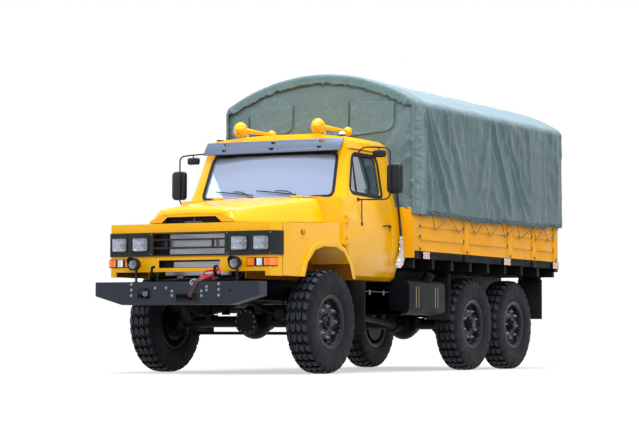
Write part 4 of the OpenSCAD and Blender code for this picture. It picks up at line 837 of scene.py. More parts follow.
# The nose's openings lie within this half width and between these heights, behind its skin.
DUCT_HALF, DUCT_Z0, DUCT_Z1, SKIN = 0.58, 1.11, 1.50, 0.004
WING_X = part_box("wings")[1].x
ARCH_R, WING_WALL = 0.80, 0.03


def duct_painted_shade(centre, normal):
    """The walls of the grille's opening and of the slot under it are black inside: painted shade."""
    inside = abs(centre.x) < DUCT_HALF and DUCT_Z0 < centre.z < DUCT_Z1 and abs(normal.y) < 0.5
    return 1 if inside and centre.y > NOSE_Y + SKIN else 0


def arch_shade(centre, normal):
    """Under the wings, over the wheels, the paint is darkened: painted shade."""
    near = math.hypot(centre.y - AXLE_Y, centre.z - AXLE_Z) < ARCH_R
    return 1 if near and abs(centre.x) < WING_X - WING_WALL else 0


def at_y(outline, y, size=1.0, cx=0.0, cz=0.0):
    """An (x, z) outline as points at one Y, drawn in towards a centre where a size is given."""
    return [Vector((cx + (x - cx) * size, y, cz + (z - cz) * size)) for x, z in outline]


def lamp_outline(low, high, inset, radius):
    """A headlamp's outline, moved in by an inset."""
    return rect(low + inset, LAMP_Z0 + inset, high - inset, LAMP_Z1 - inset, radius, 6)


# Inside the nose's openings its walls get the black rubber: painted shade.
dressed("nose_panel", [gloss_yellow, seal_rubber], 0.012, 3, paint=duct_painted_shade)
dressed("wings", [gloss_yellow, shaded_arch_yellow], 0.006, 3, paint=arch_shade)
dressed("radiator", [fin_aluminium], 0.003)

# The black lamp panel: rounded bezels round each lamp, a raised rim, and corner rivets.
panel = bmesh.new()
panel.from_mesh(nodes["grille"].data)
clean(panel)
soften(panel, 0.003, 2)
for low, high in LAMP_X:
    outer, inner = lamp_outline(low, high, -0.008, 0.036), lamp_outline(low, high, 0.006, 0.026)
    rings = [at_y(outline, NOSE_Y + y) for outline, y in ((outer, 0.0), (outer, -0.021), (inner, -0.024),
        (inner, 0.006))]
    loft(panel, rings + [rings[0]], capped=False)
weld(panel)
piece("lamp_panel", panel, [black_abs], "chassis", covers=["grille"], facing=False)
rivets = bmesh.new()
for sx in (-1, 1):
    for x in (0.472, 0.9975):
        rivet = bmesh.new()
        turned(rivet, [(-0.002, 0.0058), (0.001, 0.0055), (0.003, 0.003)], (sx * x, NOSE_Y - 0.0145, 1.268),
            (0, -1, 0), 12)
        joined(rivets, repeated(ROW, rivet, 2, (0, 0, 0.214)))
piece("lamp_panel_rivets", rivets, [zinc], "chassis")

# Behind the grille bars and in the lower slot lie the condenser's tubes, seen as fine silver rows.
fins = bmesh.new()
FIN_GAP = 0.0118
for x0, x1, z0, z1 in ((-0.29, 0.43, 1.272, 1.486), (-0.24, 0.37, 1.132, 1.200)):
    bar = bmesh.new()
    block(bar, (x0, st(-1.045), z0), (x1, st(-1.038), z0 + 0.0072))
    soften(bar, 0.0015, 1)
    joined(fins, repeated(ROW, bar, int((z1 - z0) / FIN_GAP), (0, 0, FIN_GAP)))
    for x in (x0, x1):
        block(fins, (x - 0.012, st(-1.05), z0 - 0.01), (x + 0.012, st(-1.03), z1 + 0.01), 1)
    # A near-black sheet behind the tubes: painted shade.
    block(fins, (x0, st(-1.034), z0), (x1, st(-1.030), z1), 2)
piece("condenser_fins", fins, [fin_aluminium, chassis_black, seal_rubber], "chassis")
# Near-black sheets behind the grille's opening and the lower slot: painted shade of the nose's inside.
nose_inside_shade = bmesh.new()
block(nose_inside_shade, (-0.46, st(-1.028), 1.255), (0.46, st(-1.024), 1.50))
block(nose_inside_shade, (-0.40, st(-1.028), 1.118), (0.40, st(-1.024), 1.215))
soften(nose_inside_shade, 0.001, 1)
piece("air_duct", nose_inside_shade, [seal_rubber], "chassis")

# Square headlamps: silvered bowl, round inner reflector with a bulb shield, ribbed cover glass.
lamps = bmesh.new()
covers_glass = bmesh.new()
for low, high in LAMP_X:
    cx, cz = (low + high) / 2, (LAMP_Z0 + LAMP_Z1) / 2
    frame_out = lamp_outline(low, high, 0.006, 0.026)
    rings = [at_y(frame_out, NOSE_Y + depth, size, cx, cz) for depth,
        size in ((-0.006, 1.0), (0.012, 0.93), (0.032, 0.72), (0.046, 0.42), (0.05, 0.2))]
    loft(lamps, rings, capped=False)
    loft(lamps, [rings[-1], [Vector((p.x, NOSE_Y + 0.054, p.z)) for p in rings[-1]]])
    turned(lamps, [(0.0, 0.006), (0.004, 0.017), (0.03, 0.0155), (0.034, 0.008)], (cx, NOSE_Y + 0.048, cz),
        (0, -1, 0), 20, 1)
    glass = lamp_outline(low, high, 0.007, 0.025)
    loft(covers_glass, [at_y(glass, NOSE_Y + out, size, cx, cz) for out,
        size in ((-0.009, 1.0), (-0.013, 0.985), (-0.0165, 0.9), (-0.018, 0.6))])
    # Moulded flutes on the inside of the glass.
    flute = bmesh.new()
    turned(flute, [(0.0, 0.0032), (high - low - 0.04, 0.0032)], (low + 0.02, NOSE_Y - 0.0075,
        LAMP_Z0 + 0.02), (1, 0, 0), 6)
    joined(covers_glass, repeated(ROW, flute, 3, (0, 0, 0.056)))
piece("headlamp_bowls", lamps, [reflector, black_abs], "chassis", covers=["lamps"])
piece("headlamp_glass", covers_glass, [lamp_glass], "chassis")

# Black fog lamps on stalks, each with a peak over a small clear lens.
fog = bmesh.new()
fog_glass = bmesh.new()
for sx in (-1, 1):
    c = Vector((sx * 0.628, NOSE_Y - 0.09, 1.165))
    turned(fog, [(-0.062, 0.012), (-0.058, 0.035), (-0.04, 0.054), (-0.012, 0.065), (0.02, 0.069),
        (0.046, 0.069), (0.05, 0.066), (0.05, 0.055), (0.042, 0.053)], c, (0, -1, 0), 32)
    rings = []
    for k in range(0, 9):
        a = math.radians(14 + 152 * k / 8)
        reach = 0.058 * math.sin(math.radians(22.5 * k)) ** 0.7 if 0 < k < 8 else 0.0
        edge = Vector((c.x + 0.0705 * math.cos(a), c.y - 0.04, c.z + 0.0705 * math.sin(a)))
        tip = edge + Vector((0, -0.012 - reach * 0.62, reach * 0.10))
        rings.append([edge, tip, tip + Vector((0, 0, -0.004)), edge + Vector((0, 0, -0.005))])
    loft(fog, rings)
    swept(fog, [c + Vector((0, 0.03, -0.05)), c + Vector((0, 0.03, -0.12)),
        Vector((c.x, c.y + 0.03, 0.9704))], 0.013, 12)
    turned(fog, [(0.0, 0.026), (0.008, 0.026), (0.01, 0.02)], (c.x, c.y + 0.03, 0.9704), (0, 0, 1), 20)
    swept(fog, bend([c + Vector((0.0, 0.055, 0.0)), c + Vector((0.01, 0.11, -0.05)),
        c + Vector((0.0, 0.12, -0.14))], 6), 0.005, 8)
    turned(fog_glass, [(0.036, 0.052), (0.044, 0.05), (0.050, 0.034), (0.0525, 0.01)], c, (0, -1, 0), 28)
piece("fog_lamps", fog, [black_abs], "chassis")
piece("fog_lamp_glass", fog_glass, [lamp_glass], "chassis")

# Indicators wrap round the nose's corners: amber, with a clear middle and a black base.
signals = bmesh.new()


def nose_path(out, x_from, steps=10):
    """Points along the nose's front and corner at a distance off its skin, from x_from outwards."""
    turn = [Vector((x_from, -1.100 - out, 0)), Vector((0.993, -1.100 - out, 0)),
        Vector((1.030 + out * 0.7, -1.045 - out * 0.4, 0)), Vector((1.0475 + out * 0.8, -1.0, 0))]
    return bend(turn, steps)


def wrapped(bm, sx, x0, skip, keep, z0, z1, inner, outer, slot):
    """A strip on the nose's skin from z0 to z1, between the skip-th and keep-th points of the path."""
    inside, outside = nose_path(inner, x0), nose_path(outer, x0)
    rings = []
    for a, b in list(zip(inside, outside))[skip:keep]:
        rings.append([Vector((sx * p.x, AXLE_Y + p.y, z)) for p, z in ((a, z0), (b, z0 + 0.003),
            (b, z1 - 0.003), (a, z1))])
    loft(bm, rings, slot=slot)


for sx in (-1, 1):
    wrapped(signals, sx, 0.706, 0, 26, 1.130, 1.224, -0.004, 0.004, 0)
    for skip, keep, proud, slot in ((0, 4, 0.011, 1), (4, 7, 0.0115, 2), (7, 25, 0.011, 1)):
        wrapped(signals, sx, 0.712, skip, keep, 1.137, 1.217, 0.002, proud, slot)
    # Side repeaters on the wings.
    y = st(-0.525)
    outline = rect(y - 0.034, 1.487, y + 0.034, 1.529, 0.01, 3)
    prism(signals, outline, "X", sx * 1.0555, sx * 1.062, 0)
    inner = rect(y - 0.028, 1.492, y + 0.006, 1.524, 0.008, 3)
    prism(signals, inner, "X", sx * 1.060, sx * 1.0755, 1)
    prism(signals, rect(y + 0.008, 1.492, y + 0.028, 1.524, 0.006, 3), "X", sx * 1.060, sx * 1.070, 0)
soften(signals, 0.0012, 1, 50)
piece("indicators", signals, [black_abs, amber_lens, white_lens], "chassis")

# Tail lamps in three fields, and the tail marker strip.
tails = bmesh.new()
TAIL_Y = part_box("signal_lamps")[1].y
for sx in (-1, 1):
    block(tails, (sx * 0.800, TAIL_Y - 0.05, 1.205), (sx * 1.010, TAIL_Y - 0.014, 1.290), 0)
    for i, slot in enumerate((1, 3, 2)):
        x0 = 0.806 + 0.068 * i
        block(tails, (sx * x0, TAIL_Y - 0.02, 1.211), (sx * (x0 + 0.062), TAIL_Y - 0.001, 1.284), slot)
soften(tails, 0.004, 2, 50)
piece("tail_lamps", tails, [black_abs, amber_lens, white_lens, red_lens], "chassis",
    covers=["signal_lamps"])

# Screws in the valance, and the dark seam between the nose panel and each wing.
seams = bmesh.new()
for sx in (-1, 1):
    block(seams, (sx * 1.0535, st(-0.9525), 1.04), (sx * 1.0562, st(-0.9475), 1.592), 0)
    turned(seams, [(0, 0.009), (0.004, 0.008), (0.006, 0.004)], (sx * 1.055, st(-0.63), 1.12), (sx, 0, 0),
        14, 1)
    turned(seams, [(0, 0.007), (0.003, 0.006)], (sx * 0.98, NOSE_Y, 1.235), (0, -1, 0), 12, 1)
piece("nose_seams", seams, [seal_rubber, zinc], "chassis")

# ---------------------------------------------------------------- bumper and winch

dressed("bumper", [slate_coat], 0.006, 3)
FACE_Y = st(-1.365)
bolts = bmesh.new()
bolt_rows = ((-0.552, (0.944, 0.885, 0.826)), (-0.2515, (0.904,)), (-0.115, (0.904,)),
    (-0.042, (0.872, 0.824)), (0.322, (0.870, 0.820)), (0.385, (0.914, 0.878)),
    (0.532, (0.942, 0.884, 0.825)))
for x, heights in bolt_rows:
    for z in heights:
        joined(bolts, as_mesh(hex_nut(0.0125, 0.011), "bolt"), 0, Matrix.Translation(
            (x, FACE_Y, z)) @ Matrix.Rotation(-math.pi / 2, 4, "Z"))
piece("bumper_bolts", bolts, [zinc], "chassis")
rims = bmesh.new()
for x0, x1, z0, z1, r in ((0.006, 0.282, 0.760, 0.845, 0.02), (-0.474, -0.318, 0.788, 0.903, 0.024)):
    outer, inner = rect(x0 - 0.010, z0 - 0.010, x1 + 0.010, z1 + 0.010, r + 0.01, 5), rect(x0, z0, x1, z1,
        r, 5)
    rings = [at_y(outline, FACE_Y + y) for outline, y in ((outer, 0.0), (outer, -0.004), (inner, -0.006),
        (inner, 0.0))]
    loft(rims, rings + [rings[0]], capped=False)
weld(rims)
# Rollers of the fairlead lie just inside the slot.
for z in (0.768, 0.837):
    turned(rims, [(0.0, 0.010), (0.27, 0.010)], (0.009, FACE_Y + 0.028, z), (1, 0, 0), 16)
piece("bumper_rims", rims, [slate_coat], "chassis")
# The towing jaw's pin shows as a bolt head in the bumper's square hole.
jaw = bmesh.new()
turned(jaw, [(0.0, 0.034), (0.012, 0.034), (0.018, 0.026)], (-0.396, FACE_Y + 0.035, 0.846), (0, -1, 0), 20)
turned(jaw, [(0.0, 0.012), (0.022, 0.012)], (-0.396, FACE_Y + 0.035, 0.846), (0, -1, 0), 6)
piece("towing_jaw", jaw, [bed_bolt], "chassis")

# The winch: a drum with wound strap, end drums and tie bars.
WINCH_Y, WINCH_Z = st(-1.035), 0.85
winch = bmesh.new()
for x0, x1, r in ((-0.25, -0.006, 0.084), (-0.006, 0.006, 0.092), (0.282, 0.294, 0.092),
        (0.294, 0.422, 0.04)):
    turned(winch, [(x0, r * 0.93), (x0 + 0.005, r), (x1 - 0.005, r), (x1, r * 0.93)], (0, WINCH_Y, WINCH_Z),
        (1, 0, 0), 32)
block(winch, (-0.422, WINCH_Y - 0.04, 0.802), (-0.24, WINCH_Y + 0.04, 0.91))
for z in (WINCH_Z + 0.08, WINCH_Z - 0.08):
    turned(winch, [(-0.01, 0.009), (0.29, 0.009)], (0, WINCH_Y - 0.02, z), (1, 0, 0), 10)
soften(winch, 0.003, 1, 50)
piece("winch_body", winch, [chassis_black], "chassis", covers=["winch"])
wound = bmesh.new()
turned(wound, [(0.02 + 0.002 * i, 0.062 + 0.0012 * math.sin(i * 1.9)) for i in range(124)],
    (0, WINCH_Y, WINCH_Z), (1, 0, 0), 28)
strap_path = bend([(0.144, WINCH_Y - 0.045, 0.885), (0.158, FACE_Y + 0.07, 0.835),
    (0.168, FACE_Y + 0.016, 0.812), (0.176, FACE_Y - 0.0075, 0.822), (0.205, FACE_Y - 0.0095, 0.874),
    (0.240, FACE_Y - 0.0095, 0.934), (0.262, FACE_Y - 0.008, 0.972), (0.280, FACE_Y + 0.010, 0.986),
    (0.300, FACE_Y + 0.035, 0.994)], 6)
swept(wound, strap_path, 0, flat=(0.042, 0.006), twist=(0.86, 0, -0.5))
swept(wound, [p + Vector((0.010, 0.001, 0.006)) for p in strap_path[14:38]], 0, flat=(0.040, 0.004),
    twist=(0.80, 0, -0.6))
soften(wound, 0.0012, 1, 40)
piece("winch_strap", wound, [strap_brown], "chassis", angle=50)
# A silver shackle joins the strap to the red hook, which is hooked on the left tow hook.
shackle = bmesh.new()
swept(shackle, bend([(0.205, FACE_Y - 0.002, 0.932), (0.187, FACE_Y - 0.004, 0.952),
    (0.196, FACE_Y + 0.0, 0.978), (0.226, FACE_Y + 0.006, 0.992), (0.252, FACE_Y + 0.008, 0.984)], 6),
    0.0085, 10)
turned(shackle, [(-0.036, 0.009), (-0.034, 0.013), (-0.026, 0.013), (-0.025, 0.008), (0.03, 0.008),
    (0.031, 0.012), (0.038, 0.012)], (0.222, FACE_Y - 0.0015, 0.955), (0.8, 0, 0.6), 14)
piece("winch_shackle", shackle, [zinc], "chassis")
hook = bmesh.new()
hook_y = st(-1.19)
swept(hook, bend([(0.292, FACE_Y + 0.030, 0.990), (0.318, FACE_Y + 0.072, 1.008),
    (0.345, hook_y - 0.012, 1.034), (0.372, hook_y, 1.062), (0.400, hook_y, 1.092), (0.428, hook_y, 1.112)],
    6), [0.013 + 0.008 * math.sin(math.pi * i / 30) for i in range(31)], 12)
swept(hook, bend([(0.325, FACE_Y + 0.08, 1.036), (0.310, FACE_Y + 0.06, 1.046),
    (0.318, FACE_Y + 0.062, 1.074), (0.356, hook_y - 0.01, 1.088), (0.392, hook_y, 1.090),
    (0.424, hook_y, 1.098), (0.440, hook_y, 1.082), (0.436, hook_y, 1.056), (0.412, hook_y, 1.050)], 6),
    0.0105, 12)
swept(hook, bend([(0.30, FACE_Y + 0.03, 0.995), (0.286, FACE_Y + 0.034, 1.006),
    (0.292, FACE_Y + 0.04, 1.022), (0.318, FACE_Y + 0.06, 1.024), (0.33, FACE_Y + 0.075, 1.012)], 6), 0.011,
    12)
piece("winch_hook", hook, [hook_red], "chassis")
# Brake hoses and pipes behind the bumper.
pipes = bmesh.new()
for points, r in (([(-0.60, st(-1.06), 1.02), (-0.3, st(-1.14), 0.99), (0.0, st(-1.15), 1.005),
        (0.25, st(-1.12), 0.985), (0.60, st(-1.05), 1.02)], 0.011), (
        [(-0.36, st(-1.05), 1.06), (-0.355, st(-1.16), 1.055), (-0.35, st(-1.18), 0.985)], 0.010),
        ([(-0.02, st(-1.0), 0.99), (0.05, st(-1.12), 0.975), (0.14, st(-1.13), 0.99)], 0.013)):
    swept(pipes, bend(points, 8), r, 10)
piece("front_hoses", pipes, [seal_rubber], "chassis")

# ---------------------------------------------------------------- bonnet

# The bonnet is one pressing: a flat-topped hump that widens rearwards, with an air scoop's mouth in
# front and a crease along each shoulder. Rows are (station, edge x, shoulder x, edge z, shoulder z, crown z).
BONNET = ((-1.060, 0.530, 0.385, 1.604, 1.690, 1.706), (-1.035, 0.540, 0.410, 1.604, 1.722, 1.742),
    (-0.985, 0.552, 0.445, 1.606, 1.748, 1.776), (-0.70, 0.622, 0.515, 1.618, 1.786, 1.818),
    (-0.30, 0.718, 0.605, 1.631, 1.835, 1.868), (0.05, 0.800, 0.680, 1.643, 1.878, 1.912),
    (0.300, 0.862, 0.740, 1.652, 1.908, 1.9455))


def bonnet_ring(row, inset):
    """One cross-section of the bonnet from the left edge over the crown to the right edge."""
    y, edge, shoulder, z_edge, z_shoulder, z_crown = row
    half = [(edge, z_edge), (edge - 0.006, z_edge + 0.022), (shoulder + (edge - shoulder) * 0.52,
        (z_edge + z_shoulder) / 2 + 0.006), (shoulder + 0.018, z_shoulder - 0.016), (shoulder, z_shoulder),
        (shoulder - 0.022, z_shoulder + 0.006), (shoulder * 0.78, z_shoulder
        + (z_crown - z_shoulder) * 0.55), (shoulder * 0.45, z_shoulder + (z_crown - z_shoulder) * 0.86),
        (0.0, z_crown)]
    full = half + [(-x, z) for x, z in reversed(half[:-1])]
    return [Vector((x, st(y), z - inset)) for x, z in full]


bonnet = bmesh.new()
rings = []
for a, b in zip(BONNET, BONNET[1:]):
    for k in range(4):
        rings.append(bonnet_ring([p + (q - p) * k / 4 for p, q in zip(a, b)], 0.0))
rings.append(bonnet_ring(BONNET[-1], 0.0))
# The front ring rolls back under to make the lip above the scoop.
lip = [Vector((p.x * 0.985, p.y + 0.004, p.z - 0.006)) for p in rings[0]]
rings = [[Vector((p.x * 0.97, p.y + 0.03, max(p.z - 0.02, 1.604))) for p in rings[0]], lip] + rings
loft(bonnet, rings, capped=False, closed=False)
bmesh.ops.recalc_face_normals(bonnet, faces=bonnet.faces)
if sum(face.normal.z for face in bonnet.faces) < 0:
    bmesh.ops.reverse_faces(bonnet, faces=bonnet.faces)
bonnet_obj = placed("bonnet_skin", as_mesh(bonnet, "bonnet_skin", facing=False))
wall = bonnet_obj.modifiers.new("wall", "SOLIDIFY")
wall.thickness, wall.offset = 0.006, -1.0
solid = baked(bonnet_obj)
bpy.data.objects.remove(bonnet_obj)
bonnet = bmesh.new()
bonnet.from_mesh(solid)
soften(bonnet, 0.0015, 2, 50)


def scoop_wall(bm):
    """The rim and side cheeks of the scoop's mouth, and the front closing panel on each side of it."""
    y = st(-1.0595)
    for sx in (-1, 1):
        face = [(0.385, 1.606), (0.524, 1.606), (0.466, 1.648), (0.398, 1.692), (0.312, 1.688),
            (0.302, 1.672)]
        prism(bm, [(sx * x, z) for x, z in face], "Y", y, y + 0.006)
    rim = [(-0.385, 1.606), (-0.302, 1.672), (0.302, 1.672), (0.385, 1.606)]
    path = [Vector((x, y, z)) for x, z in rim]
    for a, b in zip(path, path[1:]):
        swept(bm, [a, a.lerp(b, 0.5), b], 0.006, 8)
    block(bm, (-0.31, y, 1.672), (0.31, y + 0.006, 1.700))


scoop_wall(bonnet)
for x in (-0.5, 0.5):
    turned(bonnet, [(-0.03, 0.009), (0.03, 0.009)], (x, st(0.305), 1.947), (1, 0, 0), 16)
    block(bonnet, (x - 0.03, st(0.285), 1.922), (x + 0.03, st(0.305), 1.9469))
piece("bonnet_pressing", bonnet, [gloss_yellow], "bonnet", covers=["bonnet"], angle=40,
    facing=False)
mouth = bmesh.new()
# The mouth's inner duct and its mesh screen with a release lever behind.
block(mouth, (-0.37, st(-0.985), 1.600), (0.37, st(-0.975), 1.70))
wire = bmesh.new()
block(wire, (-0.350, st(-1.02), 1.612), (-0.3475, st(-1.017), 1.668))
joined(mouth, repeated(ROW, wire, 44, (0.016, 0, 0)))
for z in (1.628, 1.644):
    block(mouth, (-0.345, st(-1.021), z), (0.345, st(-1.018), z + 0.003))
piece("scoop_screen", mouth, [seal_rubber], "bonnet")
lever = bmesh.new()
swept(lever, [Vector((0.02, st(-1.03), 1.607)), Vector((0.02, st(-1.03), 1.660))], 0.006, 8)
block(lever, (-0.10, st(-1.035), 1.608), (0.12, st(-1.025), 1.618))
piece("bonnet_catch", lever, [bed_bolt], "bonnet")

# ---------------------------------------------------------------- cab shell, doors and glass

# The cab's inner faces carry a beige lining; its outer faces carry the gloss paint.
CAB_MIDDLE = Vector((0, st(1.06), 1.8))


def lined(centre, normal):
    """Material 1 on faces that look into the cab, and 0 on the outer skin."""
    inwards = CAB_MIDDLE - centre
    inside = abs(centre.x) < 1.05 and st(0.41) < centre.y < st(1.68) and centre.z < 2.655
    return 1 if inside and normal.dot(inwards) > 0.25 * inwards.length and centre.z > 1.09 else 0


def door_lined(centre, normal):
    """The door's inner skin."""
    return 1 if normal.x * (1 if centre.x > 0 else -1) < -0.5 else 0


for node in ("cab_front", "cab_rear_wall", "cab_roof"):
    dressed(node, [gloss_yellow, beige_lining], 0.004, 2, paint=lined)
dressed("cab_floor", [gloss_yellow], 0.003)
for side, _ in SIDES:
    dressed(side + "_door", [gloss_yellow, black_abs], 0.0045, 3, paint=door_lined)
for node, glass in (("cab_glass", windscreen_glass), ("left_door_glass", side_glass),
        ("right_door_glass", side_glass)):
    for holder in nodes[node].material_slots:
        holder.material = glass

SCREEN_LEAN = math.radians(22)


def screen_y(z, x):
    """The windscreen's outer face at a height and a distance from the middle."""
    return st(0.450 + (z - 1.935) * math.tan(SCREEN_LEAN) + x * x / (12.0 * math.cos(SCREEN_LEAN)))


SCREEN = round_corners([(0.850, 1.957), (0.805, 2.455), (-0.805, 2.455), (-0.850, 1.957)], 0.075, 6)


def grown(outline, out):
    """A closed outline moved outwards by a distance."""
    moved_points = []
    for i, point in enumerate(outline):
        a, b, c = Vector(outline[i - 1]), Vector(point), Vector(outline[(i + 1) % len(outline)])
        along = (c - a).normalized()
        moved_points.append(b + Vector((along.y, -along.x)) * out)
    size = sum((Vector(p)).length for p in moved_points)
    if (size > sum(Vector(p).length for p in outline)) != (out > 0):
        return grown(outline, -out) if out else outline
    return [tuple(p) for p in moved_points]


def gasket(bm, outline, spot, width, proud, slot=0):
    """A rounded rubber seal along a closed outline; spot(u, v, off) gives a point off the skin."""
    outline = [p for i, p in enumerate(outline) if (Vector(p) - Vector(outline[i - 1])).length > 0.0005]
    centre = Vector((sum(p[0] for p in outline) / len(outline), sum(p[1] for p in outline) / len(outline)))
    rings = []
    for i, point in enumerate(outline):
        a, b, c = Vector(outline[i - 1]), Vector(point), Vector(outline[(i + 1) % len(outline)])
        along = (c - a).normalized()
        out = Vector((along.y, -along.x))
        if out.dot(b - centre) < 0:
            out = -out
        ring = []
        for across, off in ((-0.5, -0.004), (0.5, -0.004), (0.5, 0.45 * proud), (0.2, proud), (-0.2, proud),
                (-0.5, 0.3 * proud)):
            p = b + out * across * width
            ring.append(Vector(spot(p.x, p.y, off)))
        rings.append(ring)
    loft(bm, rings + [rings[0]], capped=False, slot=slot)


seals = bmesh.new()
gasket(seals, SCREEN, lambda x, z, off: (x, screen_y(z, x) - off / math.cos(SCREEN_LEAN), z), 0.034, 0.007)
rear_window = rect(-0.42, 2.06, 0.42, 2.40, 0.06, 6)
gasket(seals, rear_window, lambda x, z, off: (x, st(1.72) + off, z), 0.03, 0.006)
weld(seals)
# A dark strip over the windscreen, behind the visor: the visor's painted shadow; and the cowl strip at its
# foot.
visor_shadow_strip = bmesh.new()
rings = []
for k in range(25):
    x = 0.80 * (k / 12 - 1)
    rings.append([Vector((x, screen_y(z, x) - off, z)) for z, off in ((2.442, 0.002), (2.442, 0.0045),
        (2.520, 0.0045), (2.520, 0.002))])
loft(visor_shadow_strip, rings)
piece("header_strip", visor_shadow_strip, [seal_rubber], "chassis")
strip = bmesh.new()
rings = []
for k in range(25):
    x = -0.80 + 1.60 * k / 24
    y = screen_y(1.944, x)
    rings.append([Vector((x, y - 0.006, 1.9365)), Vector((x, y - 0.052, 1.9365)),
        Vector((x, y - 0.050, 1.945)), Vector((x, y - 0.004, 1.951))])
loft(strip, rings)
joined(seals, as_mesh(strip, "strip"))
piece("window_rubbers", seals, [seal_rubber], "chassis", angle=40)

# The cab's side, from the sill up: (half width, height), as the doors and quarter panels follow it.
SIDE = ((0.958, 1.035), (1.006, 1.080), (1.056, 1.240), (1.078, 1.430), (1.080, 1.560), (1.066, 1.700),
    (1.036, 1.853), (0.986, 2.061), (0.926, 2.466), (0.898, 2.592))


def skin_x(z):
    """The cab side's distance from the middle at a height."""
    for (x0, z0), (x1, z1) in zip(SIDE, SIDE[1:]):
        if z <= z1:
            return x0 + (x1 - x0) * (z - z0) / (z1 - z0)
    return SIDE[-1][0]


DOOR_WINDOW = round_corners([(st(0.660), 2.010), (st(1.425), 1.990), (st(1.405), 2.440),
    (st(0.830), 2.440)], 0.085, 6)
for side, sx in SIDES:
    trim = bmesh.new()
    gasket(trim, grown(DOOR_WINDOW, 0.010), lambda y, z, off: (sx * (skin_x(z) + off), y, z), 0.042, 0.005)
    weld(trim)
    # Winder slot bar in the window and the quarter-light post.
    swept(trim, [Vector((sx * (skin_x(2.0) - 0.02), st(0.842), 1.998)),
        Vector((sx * (skin_x(2.44) - 0.02), st(0.852), 2.436))], 0.009, 8)
    # Pull handle: two feet, a bar and a lock button.
    y, z = st(1.40), 1.655
    x = skin_x(z)
    swept(trim, bend([(sx * (x + 0.001), y - 0.075, z), (sx * (x + 0.026), y - 0.060, z + 0.002),
        (sx * (x + 0.031), y, z + 0.002), (sx * (x + 0.026), y + 0.062, z),
        (sx * (x + 0.001), y + 0.074, z - 0.002)], 5), 0.0085, 10)
    block(trim, (sx * (x - 0.001), y + 0.052, z - 0.017), (sx * (x + 0.009), y + 0.098, z + 0.019))
    turned(trim, [(0.0, 0.008), (0.012, 0.0075)], (sx * (skin_x(1.615) - 0.001), y + 0.075, 1.615),
        (sx, 0, 0), 14)
    soften(trim, 0.001, 1, 60)
    piece(side + "_door_trim", trim, [seal_rubber], side + "_door", angle=40)
    # Inner door card with an arm rest and a winder.
    card = bmesh.new()
    for k in range(6):
        z0 = 1.15 + k * 0.13
        rings = [[Vector((sx * (skin_x(z0 + dz) - 0.050 - (0.004 if 0 < i < 3 else 0.0)), yy, z0 + dz))
            for i, dz in enumerate((0.0, 0.01, 0.12, 0.13))] for yy in (st(0.70), st(1.44))]
        loft(card, rings, capped=False, closed=False)
    bmesh.ops.solidify(card, geom=card.faces[:], thickness=0.003)
    block(card, (sx * 0.945, st(0.98), 1.675), (sx * 1.015, st(1.34), 1.715))
    turned(card, [(0.0, 0.016), (0.02, 0.014)], (sx * 0.992, st(0.86), 1.58), (-sx, 0, 0), 16)
    swept(card, [Vector((sx * 0.975, st(0.86), 1.58)), Vector((sx * 0.970, st(0.93), 1.64))], 0.007, 8)
    piece(side + "_door_card", card, [black_abs], side + "_door")

# Drip rail round the roof's foot, over each door.
rail = bmesh.new()
for sx in (-1, 1):
    path = bend([(sx * 0.917, st(0.72), 2.506), (sx * 0.9215, st(0.95), 2.512),
        (sx * 0.9215, st(1.4), 2.512), (sx * 0.9205, st(1.69), 2.508)], 5)
    swept(rail, path, 0, flat=(0.020, 0.006), twist=(1, 0, 0.25))
soften(rail, 0.002, 1)
piece("drip_rails", rail, [gloss_yellow], "chassis")

# Wipers: pivots on the cowl, sprung arms and blades that lie along the foot of the glass.
wipers = bmesh.new()


def on_screen(x, z, off):
    """A point off the windscreen."""
    return Vector((x, screen_y(z, x) - off / math.cos(SCREEN_LEAN), z))


for pivot, tip in (((-0.14, 1.950), (-0.60, 2.030)), ((0.45, 1.950), (-0.05, 2.026))):
    turned(wipers, [(0.0, 0.017), (0.02, 0.015), (0.028, 0.009)], on_screen(*pivot, 0.004), (0, -1, 0.4),
        16)
    elbow = (pivot[0] * 0.72 + tip[0] * 0.28, pivot[1] * 0.5 + tip[1] * 0.5 + 0.030)
    swept(wipers, bend([on_screen(*pivot, 0.028), on_screen(*elbow, 0.036),
        on_screen(tip[0] + 0.20, tip[1] + 0.004, 0.026)], 6), 0.006, 8)
    blade = [on_screen(tip[0] - 0.06 + 0.52 * k / 12, tip[1] + 0.012 - 0.055 * k / 12, 0.012)
        for k in range(13)]
    swept(wipers, blade, 0, flat=(0.014, 0.006), twist=(0, -1, 0.5))
    swept(wipers, [p + Vector((0, -0.012, 0.004)) for p in blade[2:11]], 0.0035, 6)
    for k in (2, 6, 10):
        swept(wipers, [blade[k], blade[k] + Vector((0, -0.016, 0.004))], 0.0035, 6)
piece("wipers", wipers, [seal_rubber], "chassis")

# The slotted sun visor, its brackets, and a marker lamp near each end of it on the roof.
dressed("sun_visor", [visor_coat], 0.003)
visor_screws = bmesh.new()
for x in (-0.62, 0.0, 0.62):
    for z, y in ((2.520, 0.6255), (2.590, 0.6755)):
        outline = rect(-0.027, -0.0105, 0.027, 0.0105, 0.008, 4)
        rim = [Vector((x + u, st(y) - 0.0035, z + v)) for u, v in outline]
        inner = [Vector((x + u * 0.78, st(y) - 0.0035, z + v * 0.6)) for u, v in outline]
        back = [Vector((x + u * 0.78, st(y) + 0.006, z + v * 0.6)) for u, v in outline]
        loft(visor_screws, [rim, inner, back], capped=False)
bmesh.ops.solidify(visor_screws, geom=visor_screws.faces[:], thickness=0.001)
piece("visor_slot_rims", visor_screws, [seal_rubber], "chassis")
markers = bmesh.new()
for sx in (-1, 1):
    base = Vector((sx * 0.80, st(0.835), 2.6545))
    turned(markers, [(0.0, 0.046), (0.010, 0.046), (0.012, 0.042)], base, (0, 0, 1), 24, 0)
    turned(markers, [(0.011, 0.040), (0.030, 0.038), (0.042, 0.030), (0.049, 0.016), (0.050, 0.002)], base,
        (0, 0, 1), 24, 1)
